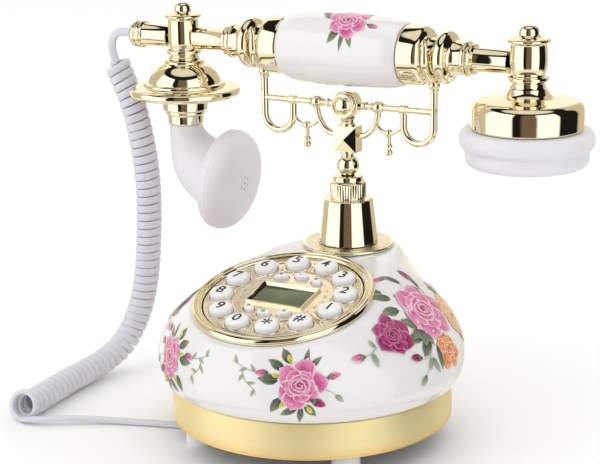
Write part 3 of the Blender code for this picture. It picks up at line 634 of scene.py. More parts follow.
def make_body():
    sides = 144
    bm = bmesh.new()
    rows = []
    for i in range(sides):
        rows.append([bm.verts.new(point * MM) for point in body_section(2 * pi * i / sides)])
    middle = bm.verts.new((0, 0, top_height(0.0) * MM))
    skin(bm, [*zip(*rows), [middle]])
    cutters = [merge(bmesh.new(), plug(FACE_RADIUS + 1.8, 20, -30), DIAL)]
    cutters.append(merge(bmesh.new(), plug(6, 100, 70, FINE), COLUMN))
    mesh = carved("body_glazed", bm, cutters, wall=BODY_WALL)
    return place("body_glazed", mesh, PORCELAIN, "base", "body_shell")


def make_band():
    inner = BAND_RADIUS - 1.6
    profile = [
        (inner, BAND_TOP), (BAND_RADIUS - 0.5, BAND_TOP, 0.3), (BAND_RADIUS, BAND_TOP - 0.6, 0.4),
        (BAND_RADIUS, BAND_LOW + 1.6, 0.5), (BAND_RADIUS - 0.35, BAND_LOW + 1.2, 0.2),
        (BAND_RADIUS - 0.35, BAND_LOW + 0.9, 0.2), (BAND_RADIUS - 0.1, BAND_LOW + 0.5, 0.3),
        (BAND_RADIUS - 0.8, BAND_LOW, 0.3), (inner, BAND_LOW),
    ]
    turned("satin_band", profile, SATIN_GOLD, "base", "base_band", sides=144)
    foot = [(0, 12), (6.7, 12), (6.8, 9, 0.5), (7, 2, 1), (6.3, 0, 0.8), (3, 0), (2.6, 0.5), (0, 0.5)]
    for i in range(4):
        at = at_polar(58, 45 + 90 * i)
        turned(f"rubber_foot_{i + 1}", foot, FOOT_WHITE, "base", f"foot_{i + 1}", at, FINE, ring=False)


# ---- dial


def dial_at(radius, degrees, w=0.0):
    return DIAL @ at_polar(radius, degrees) @ moved(z=w)


KEY_NAMES = [*"1234567890", "star", "hash"]
GLYPHS = dict(zip(KEY_NAMES, "1234567890*#"))
FUNCTION_ANGLES = [side + 31.0 * i for side in (90, 270) for i in (1, 0, -1)]
FUNCTION_SIGNS = "+-=<o>"


def key_angle(number):
    return -15 + 30 * number


def scroll(bm, matrix, size, hand):
    """One small S-scroll of the plate's filigree, a wire that thins towards its curled ends."""
    points = []
    for end in (-1, 1):
        curl = []
        for i in range(15):
            t = i / 14
            angle = hand * end * (0.4 + 4.4 * t) + (pi if end < 0 else 0)
            reach = size * (0.55 - 0.42 * t)
            curl.append(Vector((end * size * 0.5 + reach * cos(angle), reach * sin(angle), 0)))
        points += curl[::-1] if end < 0 else curl
    wire = sweep(bmesh.new(), points, circle(0.22, 6), swell=lambda t: 0.55 + 0.6 * sin(pi * t))
    merge(bm, wire, matrix)


def make_plate():
    """The plate behind the keys, pierced for them, with rings and filigree in relief."""
    edge = [(FACE_RADIUS - 0.3, FACE_TOP, 0.2), (FACE_RADIUS, FACE_LOW, 0.2)]
    profile = [(0, FACE_TOP), *edge, (0, FACE_LOW)]
    cutters = []
    for i in range(12):
        hole = plug(6.25, 4, -8, FINE)
        cutters.append(merge(bmesh.new(), hole, at_polar(KEY_CIRCLE, key_angle(i))))
    for degrees in FUNCTION_ANGLES:
        shape = spun(degrees - 90) @ Matrix.Diagonal((1.61, 1, 1, 1))
        slot = plug(2.55, 4, -8, 32)
        cutters.append(merge(bmesh.new(), slot, at_polar(FUNCTION_CIRCLE, degrees) @ shape))
    cutters.append(slab((31, 20, 12), bevel=0.2))
    plate = carved("dial_plate", lathe(rounded(profile)), cutters)
    place("dial_plate", plate, DIAL_GOLD, "base", "dial_face", DIAL)
    figure = bmesh.new()
    for radius, wire in ((38.2, 0.35), (24.6, 0.3), (37.2, 0.16), (25.5, 0.14)):
        sweep(figure, ring_of(radius, 120), circle(wire, 8))
    for i in range(12):
        well = ring_of(6.65, 40, Vector(polar(KEY_CIRCLE, key_angle(i))))
        sweep(figure, well, circle(0.28, 8))
    for i in range(12):
        angle = key_angle(i) + 15
        for radius, turn, size in ((34.4, 90, 1.5), (30.3, 0, 1.0), (27.2, 90, 0.9)):
            scroll(figure, at_polar(radius, angle) @ spun(angle + turn), size, 1 if i % 2 else -1)
        for radius in (36.4, 28.8):
            merge(figure, ball(0.4, sides=10, steps=6), at_polar(radius, angle))
    for i in range(24):
        if abs(sin(radians(i * 15))) < 0.8:
            scroll(figure, at_polar(21.3, i * 15) @ spun(i * 15 + 90), 1.1, 1 if i % 2 else -1)
    place("dial_filigree", figure, DIAL_GOLD, "base", matrix=DIAL @ moved(z=FACE_TOP + 0.05))
    at = dial_at(KEY_CIRCLE, -30, FACE_TOP + 0.4) @ spun(-36)
    place("dial_stop_bar", slab((10, 2, 1.6), 0.5), GOLD, "base", matrix=at)


def make_bezel():
    profile = [
        (39.5, -3.7), (39.5, -1.7, 0.3), (40.3, -0.75, 0.35), (41.1, -0.7, 0.35), (41.5, -1.2, 0.2),
        (42.0, -1.2, 0.2), (42.4, -0.55, 0.35), (43.4, -0.5, 0.5), (44.35, -1.2, 0.6),
        (BEZEL_RADIUS, -2.2, 0.4), (BEZEL_RADIUS, -3.7, 0.2),
    ]
    turned("bezel_polished", profile, GOLD, "base", "dial_bezel", DIAL, 144)


def make_display():
    """A bevelled frame round the window, and the dark green glass below it."""
    bm = bmesh.new()
    loops = []
    outline = (
        (15.45, 9.95, -3.6), (15.45, 9.95, -0.8), (15.2, 9.7, -0.6),
        (14.9, 9.4, -0.65), (13.6, 8.1, -2.15), (13.6, 8.1, -3.6),
    )
    for x, y, w in outline:
        corners = [(x, y, w), (-x, y, w), (-x, -y, w), (x, -y, w)]
        loops.append([bm.verts.new(Vector(corner) * MM) for corner in corners])
    skin(bm, loops + loops[:1])
    place("display_frame", bm, GOLD, "base", matrix=DIAL)
    glass = slab((27.0, 16.0, 1.3), 0.1, (0, 0, -2.7))
    place("display_glass", glass, LCD_GREEN, "base", "display_lens", DIAL)


def glyph(name, text, size, body, matrix):
    """A printed sign, as a thin raised solid."""
    data = bpy.data.curves.new(name, "FONT")
    data.body = text
    data.size = size * MM
    data.extrude = 0.14 * MM
    data.offset = 0.11 * MM
    data.align_x = "CENTER"
    data.align_y = "CENTER"
    item = add(name, data)
    mesh = final_mesh(item)
    bpy.data.objects.remove(item, do_unlink=True)
    place(name, mesh, INK, body, matrix=matrix)


def make_keys():
    side = flowing([(3.4, 1.42), (4.8, 1.1), (5.55, 0.4), (5.82, -0.7), (5.89, -2.2), (5.9, -4.1)])
    profile = [(0, 1.5), (1.6, 1.48), *side, (6.8, -4.1), (6.8, -6), (0, -6)]
    for i, name in enumerate(KEY_NAMES):
        body = f"key_{name}"
        at = dial_at(KEY_CIRCLE, key_angle(i))
        turned(f"button_{name}", profile, KEY_WHITE, body, body, at, FINE, ring=False)
        size, drop = (11.5, -1.4) if name == "star" else (8.4, 0.0)
        glyph(f"glyph_{name}", GLYPHS[name], size, body, at @ moved(0, drop, 1.4))
    side = flowing([(1.2, 0.25), (1.8, -0.1), (2.1, -0.9), (2.2, -4.1)])
    profile = [(0, 0.3), *side, (2.9, -4.1), (2.9, -6), (0, -6)]
    for i, degrees in enumerate(FUNCTION_ANGLES):
        body = f"function_key_{i + 1}"
        at = dial_at(FUNCTION_CIRCLE, degrees)
        shape = at @ spun(degrees - 90) @ Matrix.Diagonal((FUNCTION_STRETCH, 1, 1, 1))
        turned(f"button_{body}", profile, KEY_WHITE, body, body, shape, 36, ring=False)
        glyph(f"glyph_{body}", FUNCTION_SIGNS[i], 3.4, body, at @ moved(0, 0.1, 0.2))


# ---- column and cradle


def make_column():
    rim = [
        (6, 88.3), (FLANGE_RADIUS - 0.3, 88.3, 0.2), (FLANGE_RADIUS, 88.8, 0.3),
        (FLANGE_RADIUS, 89.5, 0.4), (22.6, 90.0, 0.4), (21.6, 89.95, 0.2), (21.4, 89.7, 0.1), (6, 89.7),
    ]
    turned("flange_rim", rim, GOLD, "base", "column_flange", COLUMN)
    grain = [(21.3, 89.65), (21.1, 89.9), (15.0, 89.9), (15.0, 89.65)]
    turned("flange_grain", grain, GRAINY_GOLD, "base", matrix=COLUMN)
    cone = [
        (3.6, 124.5), (7.3, 124.5, 0.3), (7.7, 124.1, 0.3), (7.7, 122.0, 0.2), (8.6, 121.7, 0.2),
        (9.2, 121.0, 0.5), (9.2, 120.4), (9.2, 114.2), (9.2, 113.3, 0.2), (11.9, 113.0, 0.4),
        (12.55, 112.5, 0.4), (12.7, 111.6, 0.4), (15.1, 91.2, 0.4), (15.2, 90.3), (13.4, 90.3),
        (10.8, 110.8), (7.4, 112.0), (7.4, 119.4), (3.6, 120.2),
    ]

    def flutes(height, angle):
        if not 113.9 < height < 120.9:
            return 0.0
        return -0.28 * (1 - abs(cos(18 * angle)))

    shape = lathe(rounded(cone, closed=True), 288, closed=True, ripple=flutes)
    place("column_polished", shape, GOLD, "base", "column_cone", COLUMN)


def make_post_block():
    """The post's faceted block: each broad side rises to a low pyramid."""
    block = bmesh.new()
    bmesh.ops.create_cube(block, size=1.0)
    bmesh.ops.scale(block, vec=Vector((13.0, 7.0, 13.3)) * MM, verts=block.verts)
    bmesh.ops.bevel(block, geom=block.edges[:], offset=0.18 * MM, segments=2, affect="EDGES")
    block.normal_update()
    broad = [face for face in block.faces if abs(face.normal.y) > 0.99 and face.calc_area() > 5e-5]
    bmesh.ops.poke(block, faces=broad, offset=1.5 * MM)
    mesh = finish_mesh("post_block_polished", block, sharp=5)
    place("post_block_polished", mesh, GOLD, "cradle", matrix=COLUMN @ moved(z=143.5))


def make_post():
    make_post_block()
    bm = bmesh.new()
    stem = [
        (0, 154.2), (4.2, 154.2), (3.4, 152.6, 0.8), (3.1, 150.6), (3.0, 136.0),
        *bead(5.75, 129.6, 31.5, 117, 20), (3.0, 124.0), (3.0, 76.0), (5.2, 75.4), (5.2, 73.6),
        (3.0, 73.2), (3.0, 62.6), (2.4, 62.0), (0, 62.0),
    ]
    merge(bm, lathe(rounded(stem), FINE))
    neck = rounded([(3.0, 1.0), (4.0, 0.5, 0.3), (4.0, -0.5, 0.3), (3.0, -1.0)], closed=True)
    for z in (150.6, 136.6):
        merge(bm, lathe(neck, FINE, closed=True), moved(z=z))
    place("post_polished", bm, GOLD, "cradle", "cradle_post", COLUMN)
    dome = [(0, 4.2), *flowing([(0.8, 4.18), (2.6, 3.75), (4.0, 2.85), (4.75, 1.75)])]
    dome += [(5.0, 1.5, 0.2), (5.25, 1.9, 0.2), (5.9, 2.0, 0.4), (6.5, 1.4, 0.5), (6.45, 0), (0, 0)]
    front = COLUMN @ moved(0, -3.8, BAR_Z, (90, 0, 0))
    turned("medallion_dome", dome, GOLD, "cradle", "cradle_medallion", front, 64, ring=False)


def arc(centre, radii, start, end, count, plane="XZ"):
    points = []
    for i in range(count + 1):
        angle = radians(start + (end - start) * i / count)
        along = radii[0] * cos(angle)
        up = radii[1] * sin(angle)
        points.append(Vector(centre) + Vector((along, 0, up) if plane == "XZ" else (0, along, up)))
    return points


def cradle_half(side):
    """One half of the cradle's casting: loop and saddle, bar with its beads, brace, and drop."""
    bm = bmesh.new()
    points = [Vector((31.4, 0, BAR_Z)), Vector((31.4, 0, 156.0))]
    points += arc((39.7, 0, 152.6), (8.3, 8.3), 180, 360, 28)
    points += [Vector((SADDLE_X, 0, 156.0)), Vector((SADDLE_X, 0, 176.6))]
    sweep(bm, points, circle(1.8, 18))
    bar = [
        (0, SADDLE_X), (1.6, SADDLE_X), (1.6, 34.0), (1.9, 33.7, 0.2), (2.35, 33.2, 0.3),
        (2.35, 29.6, 0.3), (1.9, 29.1, 0.2), (1.6, 28.8), (1.6, 21.6), (2.0, 21.2, 0.2),
        (2.0, 20.8, 0.2), (1.4, 20.5), *bead(3.3, 17.4, 25, 130, 12), (1.4, 14.3), (2.0, 14.0, 0.2),
        (2.0, 13.5, 0.2), (1.4, 13.1), (1.4, 11.6), (2.2, 11.2, 0.3), (2.4, 10.4, 0.3),
        (1.9, 9.8, 0.3), (1.9, 8.2), (2.6, 7.0), (2.6, 5.0), (0, 5.0),
    ]
    merge(bm, lathe(rounded(bar), 28), moved(z=BAR_Z) @ ALONG_X)
    saddle = [(SADDLE_X, -11.6, 196.8), (SADDLE_X, -11.6, 192.0)]
    saddle += arc((SADDLE_X, 0, HANDSET_Z), (11.6, 11.6), 180, 360, 32, "YZ")
    saddle += [(SADDLE_X, 11.6, 192.0), (SADDLE_X, 11.6, 196.8)]
    outward = [Vector((0, p[1], min(0.0, p[2] - HANDSET_Z))).normalized() for p in saddle]
    section = circle(1.55, 18, stretch=1.25)
    sweep(bm, saddle, section, outward, swell=lambda t: 1.0 if 0.03 < t < 0.97 else 0.82)
    for y in (-11.6, 11.6):
        merge(bm, ball(1.75, sides=18, steps=10), moved(SADDLE_X, y, 196.2))
    merge(bm, ball(3.0, sides=24), moved(SADDLE_X, 0, 174.4))
    foot = [(1.65, 173.0), (2.4, 172.2, 0.3), (2.4, 171.4, 0.3), (1.65, 170.8)]
    merge(bm, lathe(rounded(foot, closed=True), 28, closed=True), moved(SADDLE_X))
    sweep(bm, arc((6.9, 0, BAR_Z - 1.0), (10.5, 14.6), 0, -90, 20), circle(1.5, 14))
    sweep(bm, arc((23.3, 0, 154.2), (7.4, 6.0), -5, -175, 20), circle(1.0, 12))
    drop = [
        (0, 150.3), *bead(2.1, 148.2, 12, 138, 10), (1.15, 145.8), (1.05, 144.0), (1.15, 142.6),
        (1.75, 142.1, 0.2), (1.75, 141.0, 0.2), (1.0, 140.6), (0.95, 140.2),
        *bead(1.9, 138.4, 29, 151, 10)[:-1], (0, 136.5),
    ]
    merge(bm, lathe(rounded(drop), 20), moved(23.3))
    bmesh.ops.recalc_face_normals(bm, faces=bm.faces)
    return merge(bmesh.new(), bm, Matrix.Diagonal((side, 1, 1, 1)))


def make_cradle():
    bm = bmesh.new()
    for side in (-1, 1):
        merge(bm, cradle_half(side))
    hub = [(0, 3.5), (6.6, 3.5, 0.3), (7.0, 3.0, 0.3), (7.0, -3.0, 0.3), (6.6, -3.5, 0.3), (0, -3.5)]
    merge(bm, lathe(rounded(hub), 64), moved(z=BAR_Z, turn=(90, 0, 0)))
    place("cradle_polished", bm, GOLD, "cradle", "cradle_frame", COLUMN)


# ---- handset


def make_grip():
    half = [(14.9, 33.2), (15.6, 32.4), (16.5, 30.0), (17.35, 25.0), (17.85, 15.0), (18.1, 0.0)]
    half = flowing(half, 8)
    outer = half + [(radius, -along) for radius, along in reversed(half[:-1])]
    profile = [(12.8, 33.2), *outer, (12.8, -33.2)]
    return turned("grip_glazed", profile, PORCELAIN, "handset", "grip", AXIS, 128)


def arm_profile(end):
    """From the rod at a post in to the collar that holds the grip."""
    knob = [(9.9, 58.2), (12.0, 57.2), (12.85, 55.8), (12.9, 54.2), (12.4, 52.8), (11.2, 51.9)]
    return [
        (3.0, end), (5.7, end), (5.7, 70.4), (6.0, 70.0, 0.2), (7.4, 69.7, 0.4), (7.5, 68.7, 0.5),
        (7.3, 67.8, 0.4), (6.9, 67.6, 0.2), (6.9, 67.2, 0.2), (8.4, 66.8, 0.4), (8.6, 65.8, 0.5),
        (8.4, 64.9, 0.3), (8.0, 64.6, 0.2), (8.0, 60.6), (8.5, 59.2, 0.8), *flowing(knob, 5),
        (9.9, 51.3, 0.3), (9.3, 50.7, 0.3), (9.3, 46.6, 0.4), (9.9, 46.0, 0.3),
        *flowing([(11.6, 45.8), (13.3, 44.8), (14.35, 43.2), (14.7, 41.3)], 5),
        (14.7, 34.4, 0.4), (14.3, 33.5, 0.3), (3.0, 33.5),
    ]


def make_arms():
    flipped = AXIS @ spun(180, "Y")
    for name, turn, barrel in (("arm_left", flipped, LEFT_BARREL), ("arm_right", AXIS, RIGHT_BARREL)):
        profile = arm_profile(POST_X - barrel - GAP)
        turned(f"{name}_polished", profile, GOLD, "handset", name, turn)
    tip = [
        (1.9, 105.3), (5.7, 105.3), (5.7, 120.2), (6.0, 120.8, 0.3), (7.0, 121.3, 0.4),
        (7.1, 122.4, 0.5), (7.0, 123.4, 0.4), (6.4, 123.8, 0.2), (6.4, 124.2, 0.2), (7.0, 124.6, 0.3),
        (7.1, 125.6, 0.5), (6.6, 127.2, 0.8), (5.4, 128.3, 0.8), (3.4, 128.7, 0.5), (2.6, 128.2),
        (1.9, 127.0),
    ]
    turned("cord_end_polished", tip, GOLD, "handset", "cord_end", flipped, 64)


def make_posts():
    left = [
        *flowing([(0, 207.0), (1.7, 206.85), (3.2, 206.1), (4.05, 204.9), (4.3, 203.6)], 5),
        (4.35, 202.6, 0.3), *flowing([(4.9, 202.0), (6.6, 201.3), (8.4, 200.9)], 4),
        (9.4, 200.5, 0.4), (9.7, 199.8, 0.4), (9.4, 199.0, 0.4), (8.3, 198.6, 0.2), (8.0, 198.0, 0.3),
        (LEFT_BARREL, 186.4), *flowing([(7.95, 185.6), (7.6, 184.2), (7.3, 183.0)], 4),
        (7.5, 182.5, 0.2), (8.8, 182.1, 0.5), (9.2, 181.0, 0.7), (8.8, 179.9, 0.5), (7.6, 179.5, 0.2),
        (7.4, 179.0, 0.2), (7.9, 178.5, 0.3), (8.4, 177.9, 0.4), (8.3, 177.3), (0, 177.3),
    ]
    barrel = [(8.6, 197.8), (8.9, 194.4), (9.1, 190.6), (8.9, 187.0), (8.3, 184.4), (7.9, 183.2)]
    right = [
        *flowing([(0, 207.0), (1.9, 206.85), (3.6, 206.2), (4.6, 205.0), (4.9, 203.6)], 5),
        (4.95, 202.4, 0.3), *flowing([(5.5, 201.8), (7.2, 201.1), (9.0, 200.7)], 4),
        (10.1, 200.3, 0.4), (10.4, 199.6, 0.4), (10.1, 198.8, 0.4), (8.9, 198.4, 0.2),
        *flowing(barrel, 5), (8.2, 182.8, 0.2), (9.5, 182.4, 0.5), (9.8, 181.4, 0.7),
        (9.5, 180.4, 0.5), (8.2, 179.9, 0.2), *flowing([(7.9, 179.4), (8.1, 178.4), (8.7, 177.3)], 4),
        (0, 177.3),
    ]
    for name, at, profile in (("post_left", LEFT, left), ("post_right", RIGHT, right)):
        turned(f"{name}_polished", profile, GOLD, "handset", name, at, ring=False)


HORN_INNER = [(8.6, 142.6), (8.8, 138.5), (14.5, 135.0), (22.6, 134.0)]
HORN_OUTER = [(-8.6, 142.6), (-8.6, 118.0), (-3.0, 106.0), (18.0, 96.9)]
HORN_STEPS = 36


def horn_section(t):
    """The centre of a ring of the horn, and the way from there to its inner outline."""
    inner = bezier([Vector((x, 0, z)) for x, z in HORN_INNER], t)
    outer = bezier([Vector((x, 0, z)) for x, z in HORN_OUTER], t)
    return (inner + outer) / 2, (inner - outer) / 2


def make_mouthpiece_bell():
    dome = [(11.0, 174.9), (13.8, 173.3), (16.4, 170.9), (18.2, 168.0), (19.0, 165.6)]
    bell = [
        (3.0, 177.0), (9.2, 177.0), (10.1, 176.8, 0.3), (10.6, 176.1, 0.3), (10.3, 175.5, 0.2),
        *flowing(dome), (19.2, 165.1, 0.1), (20.2, 165.2, 0.3), (21.4, 164.7, 0.4),
        (21.5, 163.7, 0.3), (21.9, 163.3, 0.2), (26.5, 162.9, 0.8), (28.9, 162.0, 0.8),
        (29.4, 160.3, 0.9), (28.9, 158.6, 0.8), (26.8, 157.7, 0.6), (13.2, 156.9, 0.4),
        (12.2, 156.4, 0.3), (12.0, 155.4, 0.3), (11.8, 150.7, 0.3), (11.4, 150.1, 0.3),
        (10.5, 149.9, 0.2), (10.4, 148.4, 0.3), (10.0, 147.9, 0.2), (9.5, 147.6, 0.2),
        (9.3, 143.4, 0.3), (9.0, 142.9), (3.0, 142.9),
    ]
    turned("mouthpiece_bell_polished", bell, GOLD, "handset", "mouthpiece_bell", LEFT, 128)


def make_horn():
    """The curved horn. Returns the middle of its mouth, and the way it faces."""
    rows = [(*horn_section(i / HORN_STEPS), 1.0) for i in range(HORN_STEPS + 1)]
    centre, across, _ = rows[-1]
    heading = Vector((0, 1, 0)).cross(across).normalized()
    for forward, size in ((0.6, 1.0), (0.8, 0.985), (0.8, 0.9)):
        rows.append((centre + heading * forward, across, size))
    bm = bmesh.new()
    rings = []
    for middle, reach, size in rows:
        ring = []
        for angle in turns(64)[:-1]:
            offset = reach * cos(angle) + Vector((0, 1, 0)) * reach.length * sin(angle)
            ring.append(bm.verts.new((middle + offset * size) * MM))
        rings.append(ring)
    skin(bm, rings)
    bm.faces.new(rings[0])
    bm.faces.new(list(reversed(rings[-1])))
    place("horn_moulded", bm, CAP_WHITE, "handset", "horn", LEFT)
    return centre + heading * 0.8, heading


def make_mouthpiece():
    make_mouthpiece_bell()
    mouth, heading = make_horn()
    face = [(3.0, 14.55), (11.0, 13.9), (17.5, 12.8), (21.6, 11.6), (24.2, 10.0), (25.8, 7.9)]
    cap = [
        (0, 14.6), *flowing(face, 5), (26.2, 6.9, 0.3), (26.1, 6.5, 0.15), (26.1, 6.2, 0.15),
        (26.5, 5.9, 0.25), (26.5, 2.0, 0.9), (25.2, 0.9, 0.8), (19.4, 0.3, 0.5), (16.8, 0.3),
        (16.8, 2.2), (24.0, 3.0), (24.0, 7.6), (21.4, 9.2), (0, 12.6),
    ]
    spots = [HERE] + [at_polar(3.2, 60 * i) for i in range(6)]
    holes = [merge(bmesh.new(), plug(0.55, 20, 10, 14), spot) for spot in spots]
    mesh = carved("mouthpiece_cap_moulded", lathe(rounded(cap)), holes)
    tilt = math.degrees(math.atan2(heading.x, heading.z))
    at = LEFT @ moved(*mouth, (0, tilt, 0))
    place("mouthpiece_cap_moulded", mesh, CAP_WHITE, "handset", "mouthpiece_cap", at)


def make_earpiece():
    bell = [
        (3.0, 177.0),
        *flowing([(8.9, 177.0), (9.5, 175.6), (10.8, 173.8), (13.0, 172.6), (16.0, 171.9)], 5),
        *flowing([(20.5, 171.5), (23.6, 170.9), (25.6, 169.7), (26.7, 167.9), (27.0, 165.8)], 5),
        (27.0, EAR_SEAM_Z + 0.9, 0.3), (26.6, EAR_SEAM_Z + GAP), (25.0, EAR_SEAM_Z + GAP),
        (25.0, 165.8), (22.8, 168.0), (3.0, 168.6),
    ]
    turned("earpiece_bell_polished", bell, GOLD, "handset", "earpiece_bell", RIGHT, 128)
    cap = [
        (0, 144.4), (24.8, 143.8), (26.0, 146.0), (26.0, EAR_SEAM_Z), (29.4, EAR_SEAM_Z - 0.05, 0.9),
        *flowing([(30.7, 156.7), (32.0, 155.0), (32.5, 152.4), (32.1, 149.9), (30.9, 148.3)], 5),
        (29.9, 147.8, 0.3), (29.7, 147.3, 0.3), (29.7, 143.2, 0.6), (29.2, 141.2, 0.8),
        (27.6, 139.8, 0.8), (24.8, 139.3, 0.8), (19.5, 140.3, 2.0), (0, 141.4),
    ]
    spots = [HERE]
    for radius, count in ((5, 6), (10, 12)):
        spots += [at_polar(radius, 0.5 * radius + 360 * i / count) for i in range(count)]
    holes = [merge(bmesh.new(), plug(0.9, 142.6, 135, 14), spot) for spot in spots]
    mesh = carved("earpiece_cap_moulded", lathe(rounded(cap), 128), holes)
    place("earpiece_cap_moulded", mesh, CAP_WHITE, "handset", "earpiece_cap", RIGHT)


# ---- painted flowers


def palette(deep, mid, light, rim):
    """The tones of a petal or leaf, from its root out to its edge."""
    return {"deep": deep, "mid": mid, "light": light, "rim": rim}


PINK = palette((0.34, 0.02, 0.11), (0.60, 0.10, 0.28), (0.80, 0.36, 0.54), (0.95, 0.80, 0.86))
ROSE = palette((0.10, 0.002, 0.03), (0.27, 0.008, 0.085), (0.46, 0.04, 0.19), (0.74, 0.27, 0.45))
AMBER = palette((0.50, 0.08, 0.05), (0.76, 0.36, 0.15), (0.88, 0.66, 0.34), (0.92, 0.80, 0.56))
FLAME = palette((0.42, 0.02, 0.02), (0.72, 0.14, 0.06), (0.86, 0.48, 0.20), (0.93, 0.78, 0.50))
LEAF = palette((0.05, 0.065, 0.05), (0.13, 0.17, 0.12), (0.27, 0.33, 0.23), (0.42, 0.44, 0.18))
YELLOW = palette((0.42, 0.38, 0.03), (0.62, 0.57, 0.06), (0.76, 0.71, 0.16), (0.80, 0.76, 0.30))
PALE_LEAF = palette((0.22, 0.27, 0.17), (0.34, 0.39, 0.26), (0.50, 0.54, 0.38), (0.60, 0.60, 0.36))


class Painting:
    """Flat patches of paint, laid on a curved piece in layers a few thousandths of a mm apart."""

    def __init__(self, item):
        self.tree = BVHTree.FromObject(item, bpy.context.evaluated_depsgraph_get())
        self.to_world = item.matrix_world.copy()
        self.to_item = item.matrix_world.inverted()
        self.bm = bmesh.new()
        self.layer = self.bm.verts.layers.float_color.new("paint")
        self.height = 0

    def cast(self, start, heading):
        """Where a ray in the row frame, in millimetres, meets the piece, and the normal there."""
        start = self.to_item @ (start * MM)
        hit, normal, _, _ = self.tree.ray_cast(start, self.to_item.to_3x3() @ heading)
        if hit is None:
            return None, None
        return self.to_world @ hit / MM, (self.to_world.to_3x3() @ normal).normalized()

    def look_at(self, start, heading, up=UP, mirror=1):
        """Set the page on which the next patches are drawn."""
        self.origin, self.normal = self.cast(start, heading)
        self.height += 1
        self.up = (up - self.normal * up.dot(self.normal)).normalized()
        self.right = self.up.cross(self.normal) * mirror

    def dab(self, x, y, tone, lift):
        """One painted corner, or None where the page runs off the piece."""
        start = self.origin + self.right * x + self.up * y + self.normal * 25
        hit, normal = self.cast(start, -self.normal)
        if hit is None:
            return None
        vert = self.bm.verts.new((hit + normal * lift) * MM)
        vert[self.layer] = (*tone, 1.0)
        return vert

    def patch(self, rows, colours):
        self.height += 1
        lift = 0.05 + 0.004 * self.height
        grid = []
        for points, tones in zip(rows, colours):
            grid.append([self.dab(x, y, tone, lift) for (x, y), tone in zip(points, tones)])
        for a, b in zip(grid, grid[1:]):
            for k in range(len(a) - 1):
                corners = (a[k], a[k + 1], b[k + 1], b[k])
                if None not in corners:
                    self.bm.faces.new(corners)

    def finish(self, name, body):
        bmesh.ops.remove_doubles(self.bm, verts=self.bm.verts, dist=1e-7)
        mesh = bpy.data.meshes.new(name)
        self.bm.to_mesh(mesh)
        self.bm.free()
        mesh.shade_smooth()
        place(name, mesh, PAINT, body)


def mixed(a, b, t):
    t = max(0.0, min(1.0, t))
    return tuple(p + (q - p) * t for p, q in zip(a, b))


def heading_of(degrees):
    """The way at an angle on the page, and the way across it."""
    forward = Vector((cos(radians(degrees)), sin(radians(degrees))))
    return forward, Vector((-forward.y, forward.x))


def petal(page, at, degrees, length, width, tones, widest=1.4, blunt=0.6, start=0.0, lean=0.0, seed=0.0):
    """One petal or leaf, dark at its root, streaked, with a pale rim along its edge."""
    forward, across = heading_of(degrees)
    rows = []
    colours = []
    for i in range(11):
        u = i / 10
        half = width / 2 * max(0.0, sin(pi * min(1.0, 0.04 + 0.955 * u) ** widest)) ** blunt
        points = []
        shades = []
        for k in range(9):
            v = k / 4 - 1
            wave = 0.05 * width * noise.noise(Vector((u * 3 + seed, v * 2, seed * 1.7)))
            point = Vector(at) + forward * (start + length * u - 0.06 * length * v * v)
            point += across * (half * v + lean * length * u * u + wave)
            points.append((point.x, point.y))
            streak = 0.16 * noise.noise(Vector((u * 2 + seed, v * 7, 3.1 + seed)))
            tone = mixed(tones["deep"], tones["mid"], u * 1.4 - 0.12 + 2 * streak)
            tone = mixed(tone, tones["light"], (u - 0.55) * 1.6 + 2.5 * streak + 0.25 * v)
            edge = max((abs(v) - 0.74) * 3.4 * (u > 0.3), (u - 0.88) * 6.0, 0.0)
            shades.append(mixed(tone, tones["rim"], edge))
        rows.append(points)
        colours.append(shades)
    page.patch(rows, colours)


def crescent(page, at, radius, thick, start, sweep_by, tones):
    """A curled petal edge in the heart of a rose."""
    edges = ((-0.5, "deep"), (0.2, "light"), (0.5, "rim"))
    rows = [[] for _ in edges]
    for i in range(13):
        t = i / 12
        angle = radians(start + sweep_by * t)
        fat = thick * sin(pi * t) ** 0.7 + 0.03
        for row, (share, _) in zip(rows, edges):
            reach = radius * (1 + 0.12 * sin(2.2 * angle)) + fat * share
            row.append((at[0] + reach * cos(angle), at[1] + reach * sin(angle)))
    page.patch(rows, [[tones[tone]] * 13 for _, tone in edges])


def rose(page, at, size, tones, turn=0.0, seed=1):
    """A full rose seen from the front: outer petals, a ruffled middle and a spiral heart."""
    rng = random.Random(seed)
    for k in range(6):
        degrees = turn + 60 * k + rng.uniform(-10, 10)
        length = size * rng.uniform(0.88, 1.2)
        width = size * rng.uniform(0.8, 1.0)
        lean = rng.uniform(-0.16, 0.16)
        blunt = rng.uniform(0.55, 0.9)
        petal(page, at, degrees, length, width, tones, blunt=blunt, lean=lean, seed=seed + k)
    for k in range(5):
        degrees = turn + 34 + 72 * k + rng.uniform(-10, 10)
        length = size * rng.uniform(0.62, 0.74)
        petal(page, at, degrees, length, size * 0.66, tones, widest=1.9, blunt=0.5, seed=seed + 9 + k)
    for k in range(4):
        degrees = turn + 90 * k + 11
        length = size * 0.46
        petal(page, at, degrees, length, size * 0.52, tones, widest=2.2, blunt=0.45, seed=seed + 20 + k)
    for k in range(8):
        crescent(page, at, size * (0.40 - 0.045 * k), size * 0.10, turn + 131 * k, 185, tones)
    petal(page, at, turn, size * 0.1, size * 0.1, tones, start=-size * 0.04)


def leaf(page, at, degrees, length, width, tones=LEAF, seed=0.0):
    petal(page, at, degrees, length, width, tones, widest=0.95, blunt=0.85, seed=seed)
    forward, _ = heading_of(degrees)
    vein = [Vector(at) + forward * length * t for t in (0.0, 0.3, 0.6, 0.9)]
    stroke(page, vein, 0.16, tones["light"])


def leaves(page, rows):
    """Leaves from rows of place, angle, length and width. The angle seeds each one's streaks."""
    for at, degrees, length, width in rows:
        leaf(page, at, degrees, length, width, seed=degrees)


